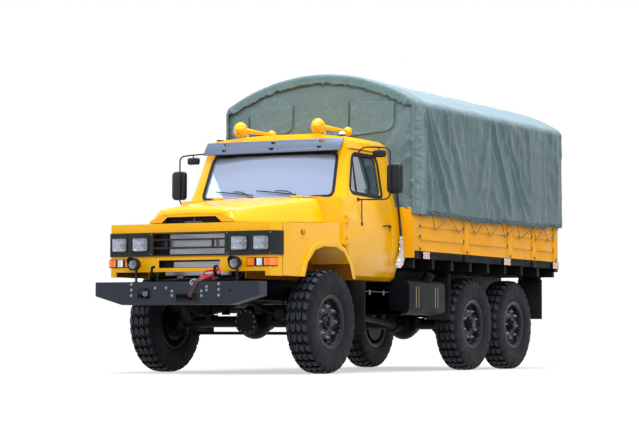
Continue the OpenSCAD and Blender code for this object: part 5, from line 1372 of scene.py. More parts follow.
piece("roof_markers", markers, [seal_rubber, white_lens], "chassis")

# ---------------------------------------------------------------- horns and mirrors

horns = bmesh.new()
HORN_Z = 2.772
for sx in (-1, 1):
    c = Vector((sx * 0.508, st(0.79), HORN_Z))
    profile = [(0.086 * math.cos(a), 0.086 * math.sin(a)) for a in (math.pi * k / 18 for k in range(4, 18))]
    nose = [(0.068, 0.001), (0.063, 0.010), (0.008, 0.0835), (0.002, 0.087), (-0.004, 0.0855)]
    turned(horns, nose + profile[6:] + [(-0.10, 0.030), (-0.35, 0.024), (-0.69, 0.016)], c, (0, -1, 0), 40)
    tail = [(0.054 * math.cos(a), 0.054 * math.sin(a)) for a in (math.pi * k / 12 for k in range(1, 12))]
    turned(horns, tail, (c.x, st(1.52), HORN_Z), (0, -1, 0), 28)
    for y in (0.96, 1.43):
        foot = Vector((c.x, st(y), 2.6745))
        swept(horns, [foot, Vector((c.x, st(y), HORN_Z))], 0.011, 12)
        turned(horns, [(0.0, 0.030), (0.006, 0.030), (0.009, 0.018)], foot - Vector((0, 0, 0.0015)),
            (0, 0, 1), 20)
piece("air_horn_pair", horns, [gloss_yellow], "chassis", covers=["air_horns"], angle=50)

for side, sx in SIDES:
    arm = bmesh.new()
    path = [(0.916, 1.000, 2.470), (0.96, 0.993, 2.508), (1.010, 0.985, 2.527), (1.20, 0.92, 2.516),
        (1.335, 0.884, 2.500), (1.370, 0.880, 2.470), (1.380, 0.88, 2.430), (1.380, 0.88, 2.2),
        (1.380, 0.88, 2.02), (1.372, 0.88, 1.968), (1.335, 0.876, 1.932), (1.20, 0.84, 1.926),
        (1.022, 0.802, 1.930)]
    swept(arm, bend([(sx * x, st(y), z) for x, y, z in path], 4), 0.0085, 10)
    swept(arm, [Vector((sx * 1.060, st(0.812), 1.929)), Vector((sx * 1.066, st(0.806), 1.79)),
        Vector((sx * 1.0715, st(0.800), 1.655))], 0.0065, 8)
    for x, y, z in ((0.917, 1.000, 2.470), (1.022, 0.802, 1.930), (1.0725, 0.800, 1.655)):
        turned(arm, [(-0.004, 0.022), (0.004, 0.022), (0.007, 0.016)], (sx * x, st(y), z), (sx, 0, 0.15),
            18)
    for z in (2.10, 2.22):
        turned(arm, [(-0.018, 0.015), (0.018, 0.015)], (sx * 1.38, st(0.88), z), (0, 0, 1), 14)
        block(arm, (sx * 1.372, st(0.88), z - 0.010), (sx * 1.388, st(0.896), z + 0.010))
    swept(arm, bend([(sx * 1.22, st(0.912), 2.512), (sx * 1.22, st(0.918), 2.49),
        (sx * 1.22, st(0.92), 2.47)], 3), 0.007, 8)

    def shell(bm, x0, x1, z0, z1, front, depth, radius):
        """A mirror's rounded back shell with a hollow rim that holds its glass."""
        cx, cz = (x0 + x1) / 2, (z0 + z1) / 2
        outline = rect(x0, z0, x1, z1, radius, 6)
        loft(bm, [at_y(outline, front + y, size, cx, cz) for size, y in ((0.62, 0.0), (0.86, 0.006),
            (0.965, 0.018), (1.0, 0.034), (1.0, depth), (0.95, depth), (0.94, depth - 0.008))])

    big = sorted((sx * 1.322, sx * 1.508))
    small = sorted((sx * 1.142, sx * 1.298))
    shell(arm, big[0], big[1], 1.992, 2.328, st(0.890), 0.056, 0.05)
    shell(arm, small[0], small[1], 2.402, 2.484, st(0.893), 0.045, 0.03)
    piece(side + "_mirror_shells", arm, [black_abs], side + "_door",
        covers=[side + "_mirror"], angle=45)
    glasses = bmesh.new()
    prism(glasses, rect(big[0] + 0.008, 2.003, big[1] - 0.008, 2.317, 0.042, 6), "Y", st(0.9385),
        st(0.9430))
    cx, cz = (small[0] + small[1]) / 2, 2.443
    outline = rect(small[0] + 0.006, 2.408, small[1] - 0.006, 2.478, 0.026, 6)
    loft(glasses, [at_y(outline, st(y), size, cx, cz) for size, y in ((1.0, 0.929), (1.0, 0.932),
        (0.7, 0.9345), (0.3, 0.9355))])
    piece(side + "_mirror_glass", glasses, [mirror_glass], side + "_door")

# ---------------------------------------------------------------- seats, dashboard and steering wheel

dressed("dashboard", [dash_abs], 0.012, 3)
dressed("steering_wheel", [dash_abs], 0.002)
dials = bmesh.new()
for x, r in ((0.30, 0.045), (0.40, 0.06), (0.53, 0.06), (0.63, 0.045)):
    turned(dials, [(-0.010, r), (0.006, r), (0.006, r * 0.88), (-0.002, r * 0.86)], (x, st(0.761), 1.800),
        (0, 1, 0), 28)
for x in (-0.80, -0.50, 0.80):
    for k in range(5):
        block(dials, (x - 0.07, st(0.758), 1.775 + k * 0.014), (x + 0.07, st(0.768), 1.781 + k * 0.014))
piece("dash_dials_and_vents", dials, [seal_rubber], "chassis")


# A cushion's grid, how many frames it is blown for and how far its cloth may move.
PAD_GRID, BLOW_FRAMES, BLOW_LIMIT = 0.0115, 20, 0.016


def pad(name, low, high, channels, upright=False):
    """A stitched cushion: cloth blown up between its seams by a short simulation, then smoothed."""
    low, high = Vector(low), Vector(high)
    bm = bmesh.new()
    block(bm, low, high)
    soften(bm, 0.028, 4)
    made = placed(name, as_mesh(bm, name, facing=False))
    remesh = made.modifiers.new("even", "REMESH")
    remesh.mode, remesh.voxel_size = "VOXEL", PAD_GRID
    made.data = baked(made)
    made.modifiers.clear()
    start = [v.co.copy() for v in made.data.vertices]
    held = made.vertex_groups.new(name="held")
    for v in made.data.vertices:
        across = (v.co.x - low.x) / (high.x - low.x)
        seam = min(abs(across - c) for c in channels) * (high.x - low.x) < 0.006
        depth = v.co.y if upright else v.co.z
        back = depth > high.y - 0.03 if upright else depth < low.z + 0.03
        rim = abs((v.co.z - high.z if upright else v.co.y - low.y)
            + (0.03 if upright else -0.03)) < 0.006
        if seam or back or rim:
            held.add([v.index], 1.0, "REPLACE")
    sheet = made.modifiers.new("cloth", "CLOTH")
    sheet.settings.use_pressure = True
    sheet.settings.uniform_pressure_force = 4.0
    sheet.settings.effector_weights.gravity = 0.0
    sheet.settings.vertex_group_mass = "held"
    sheet.settings.quality = 4
    sheet.point_cache.frame_start, sheet.point_cache.frame_end = 1, BLOW_FRAMES
    for frame_number in range(1, BLOW_FRAMES + 1):
        scene.frame_set(frame_number)
    blown = bpy.data.meshes.new_from_object(made.evaluated_get(bpy.context.evaluated_depsgraph_get()))
    for v, at in zip(blown.vertices, start):
        move = v.co - at
        v.co = at + move * min(1.0, BLOW_LIMIT / max(move.length, 1e-6))
    made.modifiers.clear()
    made.vertex_groups.clear()
    made.data = blown
    scene.frame_set(1)
    made.data.materials.clear()
    made.data.materials.append(seat_cloth)
    smooth = made.modifiers.new("smooth", "SUBSURF")
    smooth.levels = smooth.render_levels = 1
    made.data = baked(made)
    made.modifiers.clear()
    made.data.shade_smooth()
    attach(made, "chassis")


frames = bmesh.new()
for name, x0, x1, channels in (("driver", 0.17, 0.72, (0.2, 0.4, 0.6, 0.8)),
        ("bench", -0.80, 0.06, (0.125, 0.25, 0.375, 0.5, 0.625, 0.75, 0.875))):
    block(frames, (x0 + 0.03, st(1.15), 1.0815), (x1 - 0.03, st(1.54), 1.312))
    block(frames, (x0 + 0.02, st(1.622), 1.35), (x1 - 0.02, st(1.640), 2.03))
    for x in (x0 + 0.06, x1 - 0.06):
        swept(frames, [Vector((x, st(1.59), 1.30)), Vector((x, st(1.63), 1.36)),
            Vector((x, st(1.635), 1.70))], 0.012, 8)
    pad(name + "_cushion", (x0 + 0.014, st(1.094), 1.324), (x1 - 0.014, st(1.586), 1.426), channels)
    pad(name + "_backrest", (x0 + 0.014, st(1.512), 1.455), (x1 - 0.014, st(1.618), 2.066), channels, True)
soften(frames, 0.006, 2)
piece("seat_frames", frames, [chassis_black], "chassis", covers=["seats"])

# ---------------------------------------------------------------- bed


# The side boards are yellow down to here and black below.
LOWER_EDGE = 1.394


def deck_tone(centre, normal):
    """Worn paint on the deck's top; elsewhere the near-black of painted shadow."""
    return 1 if normal.z > 0.9 else 0


dressed("bed_front_wall", [bed_yellow], 0.004)
dressed("bed_floor", [sill_black_and_painted_shadow, deck_paint], 0.003, paint=deck_tone)
# The bed's beams are near-black: painted shadow under the bed.
dressed("bed_beams", [sill_black_and_painted_shadow], 0.003)
dressed("side_boards", [bed_yellow, sill_black_and_painted_shadow], 0.007, 3, cut_z=LOWER_EDGE,
    paint=lambda centre, normal: 1 if centre.z < LOWER_EDGE else 0)
dressed("tailgate", [bed_yellow], 0.006, 3)
dressed("canvas_bows", [gloss_yellow], 0.003)

BED_X = 1.2355
STAKES = (1.855, 3.220, 4.520, 5.290, 6.000)
RIB_Z = [1.392 + 0.1533 * i for i in range(4)]
bed_bolts = bmesh.new()
dark_dots_and_rib_end_shade = bmesh.new()
for sx in (-1, 1):
    spots = [(y, 1.420) for y in STAKES[1:]] + [(1.93, z) for z in (1.420, 1.565, 1.680, 1.800)]
    for y, z in spots:
        turned(bed_bolts, [(-0.001, 0.019), (0.003, 0.019), (0.004, 0.017)], (sx * BED_X, st(y), z),
            (sx, 0, 0), 20)
        turned(bed_bolts, [(0.003, 0.0125), (0.011, 0.0125), (0.0135, 0.010)], (sx * BED_X, st(y), z),
            (sx, 0, 0), 6)
    for y, z in [(1.875, 1.30 + 0.05 * k) for k in (3, 5, 7, 9)] + [(3.09, 1.425), (3.09, 1.465),
            (5.03, 1.425), (5.03, 1.465)]:
        x = BED_X if y < 1.9 else 1.2195
        turned(dark_dots_and_rib_end_shade, [(-0.002, 0.008), (0.0006, 0.008)], (sx * x, st(y), z), (sx, 0, 0), 12)
    # The open ends of the pressed ribs, just ahead of each stake, as dark blocks: painted shade.
    for y in STAKES[1:]:
        for z in RIB_Z[1:]:
            low, high = sorted((sx * 1.217, sx * 1.2300))
            block(dark_dots_and_rib_end_shade, (low, st(y - 0.112), z - 0.0215), (high, st(y - 0.0665), z + 0.0215))
piece("bed_bolts", bed_bolts, [bed_bolt], "chassis", angle=25)
piece("rib_end_gaps", dark_dots_and_rib_end_shade, [seal_rubber], "chassis")

# Blank marker plates below the boards: chequered reflective tape on a bent plate.
plates = bmesh.new()
for sx in (-1, 1):
    for y0, y1 in ((2.000, 2.190), (4.305, 4.520), (5.886, 6.090)):
        low, high = sorted((sx * 1.2185, sx * 1.2390))
        block(plates, (low, st(y0), 1.302), (high, st(y1), 1.390))
        wide = (y1 - y0 - 0.02) / 5
        for i in range(5):
            for j in range(3):
                a, b = sorted((sx * 1.2385, sx * 1.2398))
                y, z = st(y0) + 0.01 + i * wide, 1.305 + j * 0.0275
                block(plates, (a, y + 0.002, z + 0.001), (b, y + wide - 0.002, z + 0.0265),
                    1 if (i + j) % 2 else 2)
piece("marker_plates", plates, [chassis_black, tape_red, tape_white], "chassis")

# Tailgate latches: a pin in each corner post with a drop handle.
latch = bmesh.new()
for sx in (-1, 1):
    x, y = sx * 1.150, st(6.1165)
    z = 1.78
    block(latch, (x - 0.035, y - 0.001, z - 0.045), (x + 0.035, y + 0.006, z + 0.045))
    turned(latch, [(-0.045, 0.011), (0.045, 0.011)], (x, y + 0.017, z), (0, 0, 1), 14)
    swept(latch, bend([(x, y + 0.017, z + 0.02), (x - sx * 0.06, y + 0.022, z + 0.012),
        (x - sx * 0.075, y + 0.022, z - 0.05)], 5), 0.007, 8)
soften(latch, 0.002, 1)
piece("tailgate_latches", latch, [chassis_black], "tailgate")

# ---------------------------------------------------------------- canvas cover

TOP_Z, TOP_R, HALF = 3.480, 2.400, 1.2605
CORNER_R = 0.125
HEM_Z = 1.812
LEAN = math.asin((HALF - CORNER_R) / (TOP_R - CORNER_R))
CORNER_C = Vector((HALF - CORNER_R, TOP_Z - TOP_R + (TOP_R - CORNER_R) * math.cos(LEAN)))
SIDE_L = CORNER_C.y - HEM_Z
CORNER_L = CORNER_R * (math.pi / 2 - LEAN)
TOP_L = TOP_R * LEAN
AROUND = 2 * (SIDE_L + CORNER_L + TOP_L)
BOWS = [1.820 + 0.844 * i for i in range(6)]


def arch(s):
    """The cover's outer line at a run from the left hem over the top: (x, z) and the outward (x, z)."""
    t = min(s, AROUND - s)
    if t <= SIDE_L:
        point, out = Vector((HALF, HEM_Z + t)), Vector((1, 0))
    elif t <= SIDE_L + CORNER_L:
        a = (t - SIDE_L) / CORNER_R
        out = Vector((math.cos(a), math.sin(a)))
        point = CORNER_C + out * CORNER_R
    else:
        a = LEAN - (t - SIDE_L - CORNER_L) / TOP_R
        out = Vector((math.sin(a), math.cos(a)))
        point = Vector((0, TOP_Z - TOP_R)) + out * TOP_R
    if s > AROUND / 2:
        point, out = Vector((-point.x, point.y)), Vector((-out.x, out.y))
    return point, out


def step(a, b, t):
    """A smooth step from 0 at a to 1 at b."""
    t = min(max((t - a) / (b - a), 0.0), 1.0)
    return t * t * (3 - 2 * t)


# Folds on a side: station at the eave and at the hem, how far down they start and end as a share of
# the side's height, width and height, and the side they break over to.
FOLDS = ((1.985, 2.21, 0.00, 1.00, 0.045, 0.022, 1), (2.02, 2.70, 0.00, 1.00, 0.040, 0.030, -1),
    (2.10, 3.05, 0.10, 0.92, 0.050, 0.014, -1), (2.56, 2.86, 0.00, 0.62, 0.038, 0.018, 1),
    (2.62, 3.30, 0.20, 0.95, 0.060, 0.012, -1), (3.10, 3.02, 0.00, 0.36, 0.032, 0.014, 1),
    (3.84, 3.38, 0.02, 0.86, 0.060, 0.016, -1), (3.86, 3.66, 0.04, 1.00, 0.070, 0.016, 1),
    (3.92, 4.56, 0.00, 1.00, 0.046, 0.024, -1), (4.14, 5.02, 0.00, 1.00, 0.048, 0.030, 1),
    (4.22, 5.30, 0.20, 0.90, 0.070, 0.012, -1), (4.74, 4.78, 0.00, 0.70, 0.030, 0.012, 1),
    (5.02, 5.16, 0.08, 0.80, 0.050, 0.010, -1), (5.54, 5.58, 0.00, 0.96, 0.036, 0.012, 1),
    (5.82, 5.74, 0.00, 0.34, 0.050, 0.024, -1), (5.95, 6.02, 0.05, 1.00, 0.060, 0.012, 1))


def fold_height(station, down, flip):
    """How far the folds lift the side's cloth at a station and a share of the way down from the eave."""
    total = 0.0
    for top, low, start, end, width, high, lean in FOLDS:
        if flip:
            top, low = 7.86 - top, 7.86 - low
        fade = step(start - 0.05, start + 0.06, down) * (1 - step(end - 0.22, end + 0.02, down))
        if fade <= 0:
            continue
        spine = top + (low - top) * down ** 1.12 + 0.012 * math.sin(9 * down + top * 7)
        off = (station - spine) * lean
        wide = width * (0.75 + 0.6 * down)
        if abs(off) < 4.5 * wide:
            crest = math.exp(-abs(off / wide) ** 1.5) - 0.75 * math.exp(
                -((off - 1.7 * wide) / (1.2 * wide)) ** 2)
            total += high * fade * crest
    return total


def crumple(station, run, size, height, seed):
    """Sharp small creases, as a folded tarpaulin keeps."""
    spot = Vector((station / size, run / size, seed))
    spot += Vector((noise.noise(spot * 0.7), noise.noise(spot * 0.7 + Vector((5, 1, 2))), 0)) * 0.8
    return height * (0.55 - 1.6 * abs(noise.noise(spot)))


def cover_point(station, s, lift=0.0):
    """A point of the main sheet, folds, sags and creases included."""
    point, out = arch(s)
    t = min(s, AROUND - s)
    near_bow = min(abs(station - b) for b in BOWS)
    sag = math.sin(min(near_bow / 0.422, 1.0) * math.pi / 2) ** 1.6
    eave = SIDE_L + CORNER_L
    on_top = step(SIDE_L + 0.5 * CORNER_L, eave + 0.25, t)
    on_side = 1 - step(SIDE_L - 0.02, SIDE_L + 0.75 * CORNER_L, t)
    down = 1 - min(t, eave) / eave
    height = (0.004 * math.exp(-((near_bow / 0.03) ** 2)) - 0.034 * sag) * on_top - 0.010 * sag * (
        1 - on_top)
    height += on_side * 0.92 * fold_height(station, down, s > AROUND / 2)
    height += on_side * (crumple(station, s, 0.34, 0.017, 3.1) + step(-0.25, 0.3,
        noise.noise(Vector((station * 1.3, s * 1.4, 2.5)))) * crumple(station * 0.8 + s * 0.6,
        s * 0.8 - station * 0.6, 0.19, 0.012, 8.7))
    height += on_top * (crumple(station, s, 0.60, 0.007, 1.7) + crumple(station, s, 0.2, 0.002, 5.2))
    # Long straight creases where the sheet was folded for storage.
    for line in (0.42, 0.97):
        height += on_side * 0.005 * math.exp(-abs(t - line) / 0.012) * (
            0.5 + noise.noise(Vector((station, line, 0))))
    height = max(min(height, 0.030), -0.009 - 0.033 * step(0.03, 0.12, near_bow)) + lift
    y = st(station)
    z = point.y + out.y * height
    if t < 0.25:
        # The hem hangs unevenly, is lifted towards the rear and is pulled down at its eyelets.
        pull = step(0.0, 1.0, 0.5 + 0.5 * math.cos(station * 2 * math.pi / 0.5))
        uneven = 0.045 * step(4.9, 6.1, station) + 0.010 * math.sin(station * 3.1) - 0.016 * pull
        z += (0.25 - t) / 0.25 * uneven
    return Vector((point.x + out.x * height, y, z))


def cloth(name, rows, materials=(canvas_cloth,), covers=(), area=None, thick=0.0035,
        with_pieces=()):
    """A sheet of cloth from rows of points, closed by a thin wall. The flat size it is given is not used."""
    bm = bmesh.new()
    loft(bm, rows, capped=False, closed=False)
    bmesh.ops.recalc_face_normals(bm, faces=bm.faces)
    made = placed(name, as_mesh(bm, name, facing=False))
    body = made.modifiers.new("thickness", "SOLIDIFY")
    body.thickness, body.offset = thick, 0.0
    made.data = baked(made)
    made.modifiers.clear()
    for material in materials:
        made.data.materials.append(material)
    made.data.shade_smooth()
    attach(made, "chassis")
    if covers:
        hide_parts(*covers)
    more = {"area": area} if area else {}
    if with_pieces:
        more["with_pieces"] = list(with_pieces)
    return made


def spread(a, b, count):
    """Evenly spaced values from a to b."""
    return [a + (b - a) * k / (count - 1) for k in range(count)]


# Stations of the gathered strip's front edge, of the main sheet's front edge and of its rear edge.
FRONT, SHEET_FRONT, REAR = 1.728, 1.99, 6.145
main_rows = [[cover_point(y, s) for s in spread(0, AROUND, 190)] for y in spread(SHEET_FRONT, REAR, 168)]
cloth("canvas_main_sheet", main_rows,
    covers=["canvas_cover"], materials=(top_lit_canvas,))


def ruffle(s, across, seed):
    """Gathers along the drawstring, uneven in spacing, slope and height."""
    wander = s + 0.035 * noise.noise(Vector((s * 5, across * 6, seed)))
    return sum(size * (1 - 2.6 * abs(noise.noise(Vector((wander * often, across * often * 0.22, seed)))))
        for often, size in ((13, 0.75), (29, 0.45)))


def gather_row(s):
    """One row of the gathered front strip: along the cover, round its front edge and down inside."""
    point, out = arch(s)
    t = min(s, AROUND - s)
    eave = SIDE_L + CORNER_L
    on_side = 1 - step(SIDE_L, eave, t)
    inward = 0.104 - 0.070 * on_side
    row = []
    for k in range(20):
        u = k / 19
        if u < 0.6:
            station = 2.02 - (2.02 - FRONT - 0.012) * (u / 0.6)
            grow = step(0.05, 0.32, u) * (0.25 + 0.75 * on_side)
            lift = 0.004 + grow * max(0.013 * ruffle(s, station, 2.2), -0.012)
            base = cover_point(station, s, 0.0) if u < 0.06 else None
            at = Vector((point.x + out.x * lift, st(station), point.y + out.y * lift))
            if base:
                blend_in = step(0.0, 0.06, u)
                at = base.lerp(at, blend_in) + Vector((out.x, 0, out.y)) * 0.004
        else:
            v = (u - 0.6) / 0.4
            depth = inward * v * (1 + 0.16 * ruffle(s, 0.2, 9.1))
            wave = (0.012 + 0.014 * v) * ruffle(s, v * 0.12, 4.4)
            turn = 0.012 * (1 - math.cos(min(v * 4, 1) * math.pi / 2))
            at = Vector((point.x - out.x * (depth - 0.004), st(FRONT + 0.012 - turn) - 0.010
                - 0.4 * abs(wave) + wave * 0.6, point.y - out.y * (depth - 0.004)))
        if t < 0.02:
            at.z = max(at.z, HEM_Z - 0.012)
        row.append(at)
    return row


cloth("canvas_front_gather", [gather_row(s) for s in spread(0, AROUND, 460)],
    materials=(hem_cloth,), thick=0.003)


# The front curtain: its lower edge, its width and the places of its rows across the front.
CURTAIN_LOW, CURTAIN_WIDE = 1.874, 2.486
CURTAIN_ROWS = spread(-CURTAIN_WIDE / 2, CURTAIN_WIDE / 2, 240)


def curtain_edge(x):
    """The height of the arch's inside over a place across the front."""
    x = min(abs(x), HALF - 0.012)
    if x <= CORNER_C.x + CORNER_R * math.sin(LEAN):
        return TOP_Z - TOP_R + math.sqrt(TOP_R ** 2 - x * x) - 0.022
    return CORNER_C.y + math.sqrt(max(CORNER_R ** 2 - (x - CORNER_C.x) ** 2, 0.0)) - 0.022


def curtain_point(x, v):
    """A point of the front curtain; v runs from its lower edge to the arch."""
    top, low = curtain_edge(x), CURTAIN_LOW + 0.006 * math.sin(x * 9)
    z = low + (top - low) * v
    # Tension folds run down and in from the near corner and from each eave.
    depth = 0.0
    for sx, x0, z0, angle, width, high in ((1, 1.20, 2.92, 0.95, 0.06, 0.022),
            (1, 1.22, 2.72, 0.72, 0.05, 0.020), (1, 1.24, 2.50, 0.50, 0.045, 0.012),
            (1, 1.18, 3.02, 1.25, 0.07, 0.014), (1, 1.05, 2.20, 0.15, 0.06, 0.012),
            (-1, 1.20, 2.90, 0.9, 0.06, 0.02), (-1, 1.22, 2.60, 0.55, 0.05, 0.012),
            (1, 0.2, 2.75, 0.1, 0.03, 0.006), (-1, 0.3, 2.55, 0.2, 0.035, 0.006)):
        along = Vector((-sx * math.cos(angle), -math.sin(angle)))
        here = Vector((x - sx * x0, z - z0))
        run, off = here.dot(along), here.x * along.y - here.y * along.x
        reach = step(0.0, 0.08, run) * (1 - step(0.5, 1.05, run))
        depth += 1.7 * high * reach * math.exp(-abs(off / (width * (0.6 + run))) ** 1.6) if run > 0 else 0.0
    for seam in (-0.62, 0.0, 0.69):
        depth += 0.007 * math.exp(-((x - seam) / 0.012) ** 2)
    depth += crumple(x, z, 0.36, 0.013, 4.9) + crumple(x, z, 0.15, 0.007, 7.7)
    inset = 0.030 + 0.014 * step(0.85, 1.0, v)
    return Vector((x, st(FRONT + inset) - max(min(depth, 0.029), -0.012), z))


front_rows = [[curtain_point(x, v) for v in spread(0, 1, 84)] for x in CURTAIN_ROWS]
curtain_area = sum(curtain_edge(x) - CURTAIN_LOW for x in CURTAIN_ROWS) * CURTAIN_WIDE / 240
cloth("canvas_front_curtain", front_rows, area=curtain_area,
    materials=(curtain_cloth,))


def flap(name, outline_low, x0, x1, z0, z1, corner):
    """A window flap that hangs over the curtain, with one rounded lower corner."""
    rows = []
    for x in spread(x0, x1, 40):
        near = min(abs(x - corner) / 0.13, 1.0)
        lift_low = 0.13 * (1 - math.sqrt(max(1 - (1 - near) ** 2, 0.0)))
        low = z0 + lift_low + outline_low * (x - x0)
        row = []
        for v in spread(0, 1, 26):
            z = low + (min(z1, curtain_edge(x) - 0.02) - low) * v
            share = (z - CURTAIN_LOW) / (curtain_edge(x) - CURTAIN_LOW)
            on = curtain_point(x, share)
            curl = 0.010 * math.exp(-v / 0.08) * (0.6 + noise.noise(Vector((x * 6, z, 2))))
            on.y -= 0.007 + curl + 0.003 * abs(noise.noise(Vector((x * 5, z * 9, 6.0))))
            row.append(on)
        rows.append(row)
    area = sum(row[-1].z - row[0].z for row in rows) / len(rows) * (x1 - x0)
    return cloth(name, rows, area=area, thick=0.003,
        materials=(curtain_cloth,))


flap("window_flap_right", 0.0, -0.948, -0.346, 2.80, 3.14, -0.346)
flap("window_flap_left", 0.07, 0.40, 1.00, 2.74, 3.14, 1.00)

# Stitched edge bindings on the flaps, curtain seams, hem band and brass eyelets.
trims = bmesh.new()
for x0, z0, z1 in ((-0.346, 2.93, 3.13), (0.40, 2.76, 3.15), (1.00, 2.92, 3.10), (-0.948, 2.82, 3.02)):
    path = [curtain_point(x0, (z - CURTAIN_LOW) / (curtain_edge(x0) - CURTAIN_LOW)) + Vector((0, -0.015, 0))
        for z in spread(z0, min(z1, curtain_edge(x0) - 0.03), 12)]
    swept(trims, path, 0.0045, 6)
piece("flap_bindings", trims, [olive_binding], "chassis")
hem = bmesh.new()
for start, near in ((0.0, 0.055), (AROUND, AROUND - 0.055)):
    rows = [[cover_point(y, start, 0.003), cover_point(y, near, 0.003)]
        for y in spread(2.02, REAR - 0.004, 150)]
    loft(hem, rows, capped=False, closed=False)
bmesh.ops.solidify(hem, geom=hem.faces[:], thickness=0.0015)
piece("hem_band", hem, [hem_cloth], "chassis")
EYELETS = (2.20, 2.60, 3.20, 3.62, 4.15, 4.64, 5.16, 5.52, 5.96)
HOOKS = (2.32, 2.98, 3.45, 3.88, 4.34, 4.80, 5.32, 5.74)
rings_bm, hooks, rope = bmesh.new(), bmesh.new(), bmesh.new()
for side, sx in SIDES:
    holes = [cover_point(y, 0.028 if sx > 0 else AROUND - 0.028, 0.0) for y in EYELETS]
    for at in holes:
        turned(rings_bm, [(-0.003, 0.012), (0.003, 0.014), (0.0055, 0.012), (0.0035, 0.008)],
            at + Vector((sx * 0.003, 0, 0)), (sx, 0, 0), 16)
    pegs = [Vector((sx * 1.2195, st(y), 1.655)) for y in HOOKS]
    for at in pegs:
        swept(hooks, bend([at + Vector((sx * a, 0, b)) for a, b in ((-0.002, 0.016), (0.014, 0.014),
            (0.026, 0.002), (0.022, -0.016), (0.010, -0.020))], 4), 0.0045, 8)
        turned(hooks, [(-0.002, 0.014), (0.003, 0.014)], at + Vector((0, 0, 0.016)), (sx, 0, 0), 14)
    # The rope zigzags from eyelet to hook; it lies close over the boards' stakes.
    spots = [holes[0]]
    for i, peg in enumerate(pegs):
        spots += [peg + Vector((sx * 0.0225, 0, -0.012)), holes[i + 1] + Vector((sx * 0.010, 0, -0.002))]
    for a, b in zip(spots, spots[1:]):
        middle = a.lerp(b, 0.5) + Vector((sx * 0.005, 0, -0.006))
        path = bend([a, middle, b], 6)
        for p in path:
            if min(abs(p.y - st(s)) for s in STAKES) < 0.075:
                p.x = sx * max(abs(p.x), BED_X + 0.006)
        swept(rope, path, 0.0045, 7)
    for at in holes:
        swept(rope, bend([at + Vector((sx * 0.010, 0, -0.004)), at + Vector((sx * 0.012, 0.008, -0.03)),
            at + Vector((sx * 0.006, 0.003, -0.05))], 3), 0.006, 7)
piece("canvas_eyelets", rings_bm, [zinc], "chassis")
piece("lacing_hooks", hooks, [gloss_yellow], "chassis")
piece("lacing_rope", rope, [rope_fibre], "chassis", angle=60)

# ---------------------------------------------------------------- tank, boxes, guards and pipe

for node, width in (("fuel_tank", 0.006), ("equipment_boxes", 0.006)):
    dressed(node, [chassis_black], width, 3, angle=24)
dressed("mudguards", [seal_rubber], 0.002)
# Plates that hang the mudflaps from the cross beams: (station, inner and outer distance).
hangers = bmesh.new()
FLAP_TOP, BEAM_FOOT = 1.12, 1.192
for sx in (1, -1):
    for station, x0, x1 in ((5.70, 0.83, 1.15), (2.86, 0.87, 1.15)):
        low, high = sorted((x0 * sx, x1 * sx))
        block(hangers, (low, st(station) - 0.004, FLAP_TOP), (high, st(station) - 0.0005, BEAM_FOOT))
soften(hangers, 0.002, 1)
piece("flap_hangers", hangers, [chassis_black], "chassis")
dressed("breather_pipe", [black_abs], 0.001)
straps = bmesh.new()
tank = round_corners([(0.640, 0.662), (1.200, 0.662), (1.200, 1.057), (0.640, 1.057)], 0.105, 8)
for y in (1.940, 2.445):
    for half, out, slot in ((0.042, 0.0024, 1), (0.022, 0.0050, 0)):
        outer = grown(tank, out)
        inner = grown(tank, -0.001)
        rings = [[Vector((x, st(y - half), z)) for x, z in inner], [Vector((x, st(y - half), z)) for x,
            z in outer], [Vector((x, st(y + half), z)) for x, z in outer],
            [Vector((x, st(y + half), z)) for x, z in inner]]
        loft(straps, rings + [rings[0]], capped=False, slot=slot)
neck_a, neck_b = Vector((1.070, st(2.338), 0.997)), Vector((1.160, st(2.338), 1.137))
along = (neck_b - neck_a).normalized()
turned(straps, [(0.0, 0.066), (0.014, 0.066), (0.017, 0.063)], neck_a.lerp(neck_b, 0.45), along, 32)
turned(straps, [(-0.010, 0.068), (0.004, 0.069), (0.010, 0.065), (0.0125, 0.050), (0.012, 0.018),
    (0.018, 0.016), (0.018, 0.002)], neck_b, along, 36)
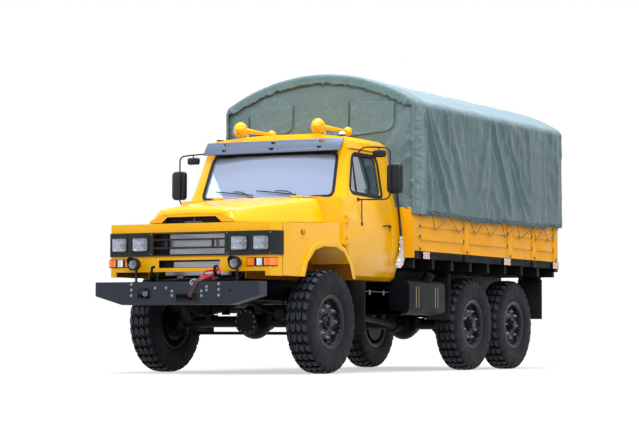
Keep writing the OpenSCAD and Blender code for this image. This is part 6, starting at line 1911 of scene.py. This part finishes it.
for k in range(18):
    a = 2 * math.pi * k / 18
    side = along.cross(Vector((0, 1, 0))).normalized()
    over = along.cross(side)
    rim = (side * math.cos(a) + over * math.sin(a)) * 0.069
    swept(straps, [neck_b + rim - along * 0.009, neck_b + rim + along * 0.003], 0.0035, 6)
weld(straps)
piece("tank_straps_and_cap", straps, [chassis_black, webbing], "chassis")
details = bmesh.new()
block(details, (1.0495, st(0.872), 0.905), (1.0535, st(1.504), 0.911))
for y in (1.02, 1.36):
    block(details, (1.0495, st(y) - 0.018, 0.872), (1.058, st(y) + 0.018, 0.925))
block(details, (-1.1835, st(2.345), 1.000), (-1.1795, st(2.785), 1.006))
turned(details, [(0.0, 0.014), (0.008, 0.012)], (-1.1795, st(2.565), 0.96), (-1, 0, 0), 18)
soften(details, 0.0015, 1)
piece("box_lid_fittings", details, [bed_bolt], "chassis")
switch = bmesh.new()
turned(switch, [(0.0, 0.030), (0.016, 0.030), (0.020, 0.024), (0.034, 0.024), (0.038, 0.018)],
    (0.975, st(0.93), 0.9495), (0, 0, 1), 24)
block(switch, (0.967, st(0.905), 0.987), (0.983, st(0.955), 1.004))
soften(switch, 0.002, 1)
piece("battery_switch", switch, [hook_red], "chassis")
# The pipe's lower end is wrapped in protective film.
wrap = bmesh.new()
wrap_path = bend([(1.106, st(1.707), 1.555), (1.110, st(1.707), 1.48), (1.112, st(1.705), 1.40),
    (1.112, st(1.69), 1.31), (1.110, st(1.66), 1.24), (1.108, st(1.62), 1.19)], 8)
rings = []
for i, at in enumerate(wrap_path):
    share = i / (len(wrap_path) - 1)
    size = 0.026 + 0.030 * step(0.35, 0.7, share) - 0.02 * step(0.85, 1.0, share)
    rings.append([at + Vector((math.cos(a) * size * 0.62, math.sin(a) * size * 1.15, 0)) * (
        1 + 0.55 * noise.noise(Vector((math.cos(a) * 2.2, math.sin(a) * 2.2, share * 13))))
        for a in (2 * math.pi * k / 22 for k in range(22))])
loft(wrap, rings)
piece("pipe_end_wrap", wrap, [clear_wrap], "chassis", angle=25)
